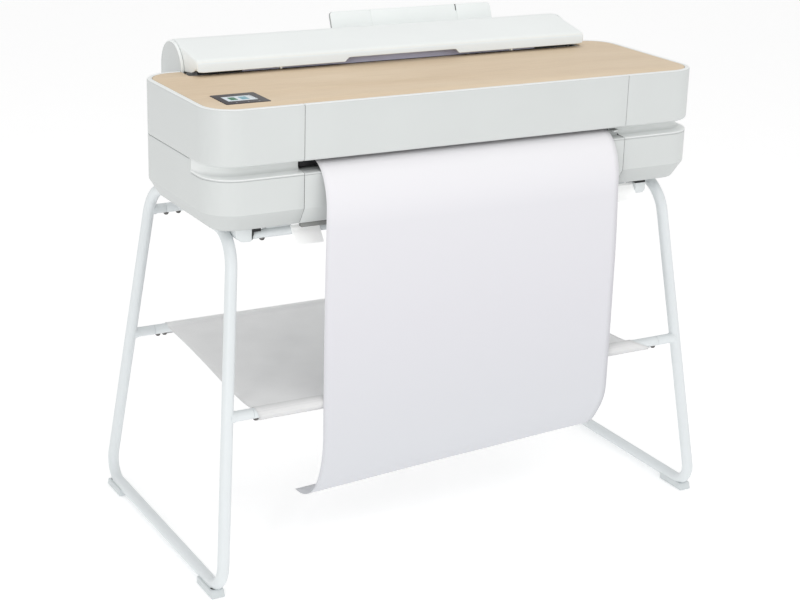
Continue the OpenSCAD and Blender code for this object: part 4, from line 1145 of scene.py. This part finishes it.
def flaps():
    """The two small sheet guides that hang from the upper bar on clips."""
    mid = rounded([(-4.0, 9.2), (-9.0, 6.0), (-11.0, 2.0), (-28.2, -20.0)], [0, 3, 12, 0], 5, closed=False)
    section = [(u - 0.75, v + 0.65) for u, v in mid] + [(-28.9, -20.6)]
    section += [(u + 0.75, v - 0.65) for u, v in mid[::-1]]
    clip = arc(0, 0, UPPER_R + 2, 178, 300, 14) + arc(0, 0, UPPER_R + 0.2, 300, 178, 14)
    shape = Shape()
    for x in (-338, 341):
        rows = []
        steps = [(0.0, 1.6), (0.6, 0.5), (1.8, 0.0)]
        for dx, shrink in steps + [(27, 0.0)] + [(54.0 - d, less) for d, less in steps[::-1]]:
            # Only the free edge's corners are rounded.
            rows.append([(x + dx, UPPER_Y + u + (shrink * 0.8 if v < -12 else 0),
                          UPPER_Z + v + (shrink if v < -12 else 0)) for u, v in section])
        shape.solid(rows)
        for dx in (6, 42):
            shape.solid([[(x + dx + q, UPPER_Y + u, UPPER_Z + v) for u, v in clip] for q in (0, 7)])
    # The flaps glow a little: painted light.
    shape.make("sheet_guide_flaps", "lid_white.flap", "body", ["guide_flaps"])


def stand():
    side_frame("left", -1)
    side_frame("right", 1)
    cross_bar("rear_brace", 425.7, BRACE_ROD, "upper_rear_bar")
    cross_bar("front_basket_bar", 437.3, FRONT_ROD, "basket_front_bar")
    cross_bar("rear_basket_bar", 436.7, REAR_ROD, "basket_rear_bar")
    upper_bar()
    screws()
    bar_ends()
    flaps()


SHOE_X = 518.2
SHOE_HALF = 12.75
SHOE_LONG = 70


def shoes():
    lo, hi = box_mm("foot_shoes")
    shape = Shape()
    for sx in (-1, 1):
        for y0 in (lo[1], hi[1] - SHOE_LONG):
            mid = sx * SHOE_X
            # The free end leans back a little.
            front = y0 < 0
            rows = []
            for z, d in ((0.0, 0.6), (0.3, 0.2), (0.8, 0.0), (12.4, 0.0), (13.2, 0.3), (13.9, 1.2)):
                a, b = y0 + d, y0 + SHOE_LONG - d
                a, b = (a + z * 0.35, b) if front else (a, b - z * 0.35)
                loop = rect(mid - SHOE_HALF + d, mid + SHOE_HALF - d, a, b, 1.4, 3)
                rows.append([(x, y, z) for x, y in loop])
            shape.solid(rows)
    # The shoes take the darker copy of the tube white: painted shade.
    shape.make("floor_shoes", "tube_white.shoe", "body", ["foot_shoes"])
    pads = Shape()
    for sx in (-1, 1):
        for y, turn in ((lo[1] + 14.5, -1), (hi[1] - 14.5, 1)):
            x = sx * SHOE_X
            turns = [math.radians(a) for a in range(0, 360, 15)]
            pads.solid([[(x + (9.4 - d) * math.cos(a), y + turn * (6.5 - d) * math.sin(a), z) for a in turns]
                        for z, d in ((13.0, 0.0), (14.1, 0.0), (14.3, 0.3))])
    pads.make("shoe_pads", "rubber", "body")


stand()
shoes()


# ---- Basket ----

CLOTH_SAG = 12.0
CLOTH_STEPS = 44
CLOTH_COLUMNS = 72


def thicken(piece, metres):
    thick = piece.modifiers.new("Thickness", "SOLIDIFY")
    thick.thickness = metres
    thick.offset = 0.0


def basket():
    """One piece of cloth: round the rear bar, down in a sag, and round the front bar to a hem."""
    y0, y1 = front_leg_y(BASKET_Z), rear_leg_y(BASKET_Z)
    r = BAR_R + 1.1
    # The section, from the hem under the front sleeve to the hem under the rear one.
    section = [(y0 + 5.0, BASKET_Z - r - 6.5), (y0 + 2.5, BASKET_Z - r - 3.0)]
    section += arc(y0, BASKET_Z, r, 270, 30, 16)
    start = section[-1]
    rear = arc(y1, BASKET_Z, r, 150, -90, 16)
    end = rear[0]
    for k in range(1, CLOTH_STEPS):
        t = k / CLOTH_STEPS
        u = 2 * t - 1
        z = mix(start[1], end[1], t) - (CLOTH_SAG + (start[1] - BASKET_Z) * 0.5) * (1 - u * u)
        section.append((mix(start[0], end[0], t), z))
    section += rear + [(y1 - 2.5, BASKET_Z - r - 0.2), (y1 - 5.5, BASKET_Z - r + 0.9)]
    rows = []
    length = sum(math.dist(a, b) for a, b in zip(section, section[1:]))
    for c in range(CLOTH_COLUMNS + 1):
        u = 2 * c / CLOTH_COLUMNS - 1
        row = []
        run = 0.0
        for i, (y, z) in enumerate(section):
            if i:
                run += math.dist(section[i - 1], section[i])
            t = run / length
            across = (t - 0.12) / 0.76
            mid = math.sin(math.pi * min(max(across, 0), 1))
            # The edges are pulled tight; the middle hangs lower.
            lift = 9.0 * mid * abs(u) ** 1.5 - 8.0 * mid * (1 - u * u)
            crease = (1.5 * mid * noise.noise(Vector((u * 2.5, t * 3.0, 0.3))) +
                      0.6 * mid * noise.noise(Vector((u * 12.0, t * 9.0, 4.3))))
            grip = 0.35 * (1 - mid) * noise.noise(Vector((u * 21.0, t * 14.0, 9.1)))
            # The cut ends slant: round the front bar both run to the left, towards the top.
            wrap = ease((i - 2) / 12.0)
            left = mix(mix(-426.0, -435.0, wrap), -411.0, ease(across))
            right = mix(mix(424.0, 376.0, wrap), 405.0, ease(across))
            x = mix(left, right, (u + 1) / 2)
            pull = 3.0 * mid * abs(u) ** 3
            row.append((x - math.copysign(pull, u), y, z + lift + crease + grip))
        rows.append(row)
    shape = Shape()
    shape.grid(rows)
    # The sleeve round the front bar gets the darker copy: painted shade; the rear sleeve keeps the cloth's
    # own tone.
    shape.recolour(1, lambda x, y, z: abs(y - y0) < r + 1.0)
    cloth = shape.make("basket_cloth", ["fabric_white", "fabric_white.sleeve_painted_shade"], "body", ["basket_fabric"],
                       sharp=180)
    thicken(cloth, 0.0009)


basket()


# ---- Paper ----

def turn_path(point, r, a0, a1, steps):
    """Arc points that turn from direction a0 to a1, in degrees below the way out of the machine."""
    out = []
    for k in range(1, steps + 1):
        a = math.radians(mix(a0, a1, k / steps))
        b = math.radians(a0)
        out.append((point[0] + r * (math.sin(b) - math.sin(a)), point[1] + r * (math.cos(a) - math.cos(b))))
    return out


PAPER_SLOPE = math.radians(20)
PAPER_LEVEL = 764.0
PAPER_EDGE = -188.0
PAPER_LOW = 262.0
PAPER_COLUMNS = 48


def falling_sheet():
    """From under the roll down a slope, level to the outlet, over its edge, down and into a curl."""
    level = PAPER_LEVEL
    leave_r = (roll_hi[2] - roll_lo[2]) / 2 + 1.2
    start = (ROLL_Y + leave_r * math.sin(PAPER_SLOPE), ROLL_Z - leave_r * math.cos(PAPER_SLOPE))
    flat = (start[0] - (start[1] - level) / math.tan(PAPER_SLOPE), level)
    edge = (PAPER_EDGE, level)
    path = [(mix(start[0], flat[0], k / 8), mix(start[1], flat[1], k / 8)) for k in range(9)]
    path[-1] = (flat[0], flat[1] + 0.25)
    path += [(mix(flat[0], edge[0], k / 8), level) for k in range(1, 9)]
    first = len(path) - 1
    path += turn_path(edge, 55, 0, 60, 14)
    path += turn_path(path[-1], 110, 60, 90, 8)
    hang = (path[-1][0], PAPER_LOW)
    path += [(hang[0], mix(path[-1][1], hang[1], k / 24)) for k in range(1, 25)]
    path += turn_path(hang, 200, 90, 120, 10)
    path += turn_path(path[-1], 92, 120, 184, 16)
    half = (roll_hi[0] - roll_lo[0]) / 2
    rows = []
    for c in range(PAPER_COLUMNS + 1):
        u = 2 * c / PAPER_COLUMNS - 1
        row = []
        for i, (y, z) in enumerate(path):
            down = ease((level - 6 - z) / 240.0) if i > first else 0.0
            # The right side hangs a little further out than the left, and curls a little higher.
            skew = (-9.0 if u > 0 else -2.5) * u * down
            wave = 1.6 * down * noise.noise(Vector((u * 1.3, z * 0.004, 1.7)))
            low = ease((300 - z) / 150.0) if i > first else 0.0
            rise = 32.0 * low * (0.5 + 0.5 * u) - 3.0 * low * (0.5 - 0.5 * u)
            row.append((u * half, y + skew + wave, z + rise))
        rows.append(row)
    shape = Shape()
    shape.grid(rows)
    paper = shape.make("falling_paper", "paper", "body", ["paper_sheet"], sharp=180)
    thicken(paper, 0.00022)


falling_sheet()


# ---- Floor ----

FLOOR_HALF = 14.0
floor_mesh = bpy.data.meshes.new("floor")
FLOOR_LOOP = rect(-FLOOR_HALF, FLOOR_HALF, -FLOOR_HALF, FLOOR_HALF, 0)
floor_mesh.from_pydata([(x, y, -0.0005) for x, y in FLOOR_LOOP], [], [(0, 1, 2, 3)])
floor_mesh.materials.append(MATERIALS["floor"])
floor = bpy.data.objects.new("floor", floor_mesh)
scene.collection.objects.link(floor)
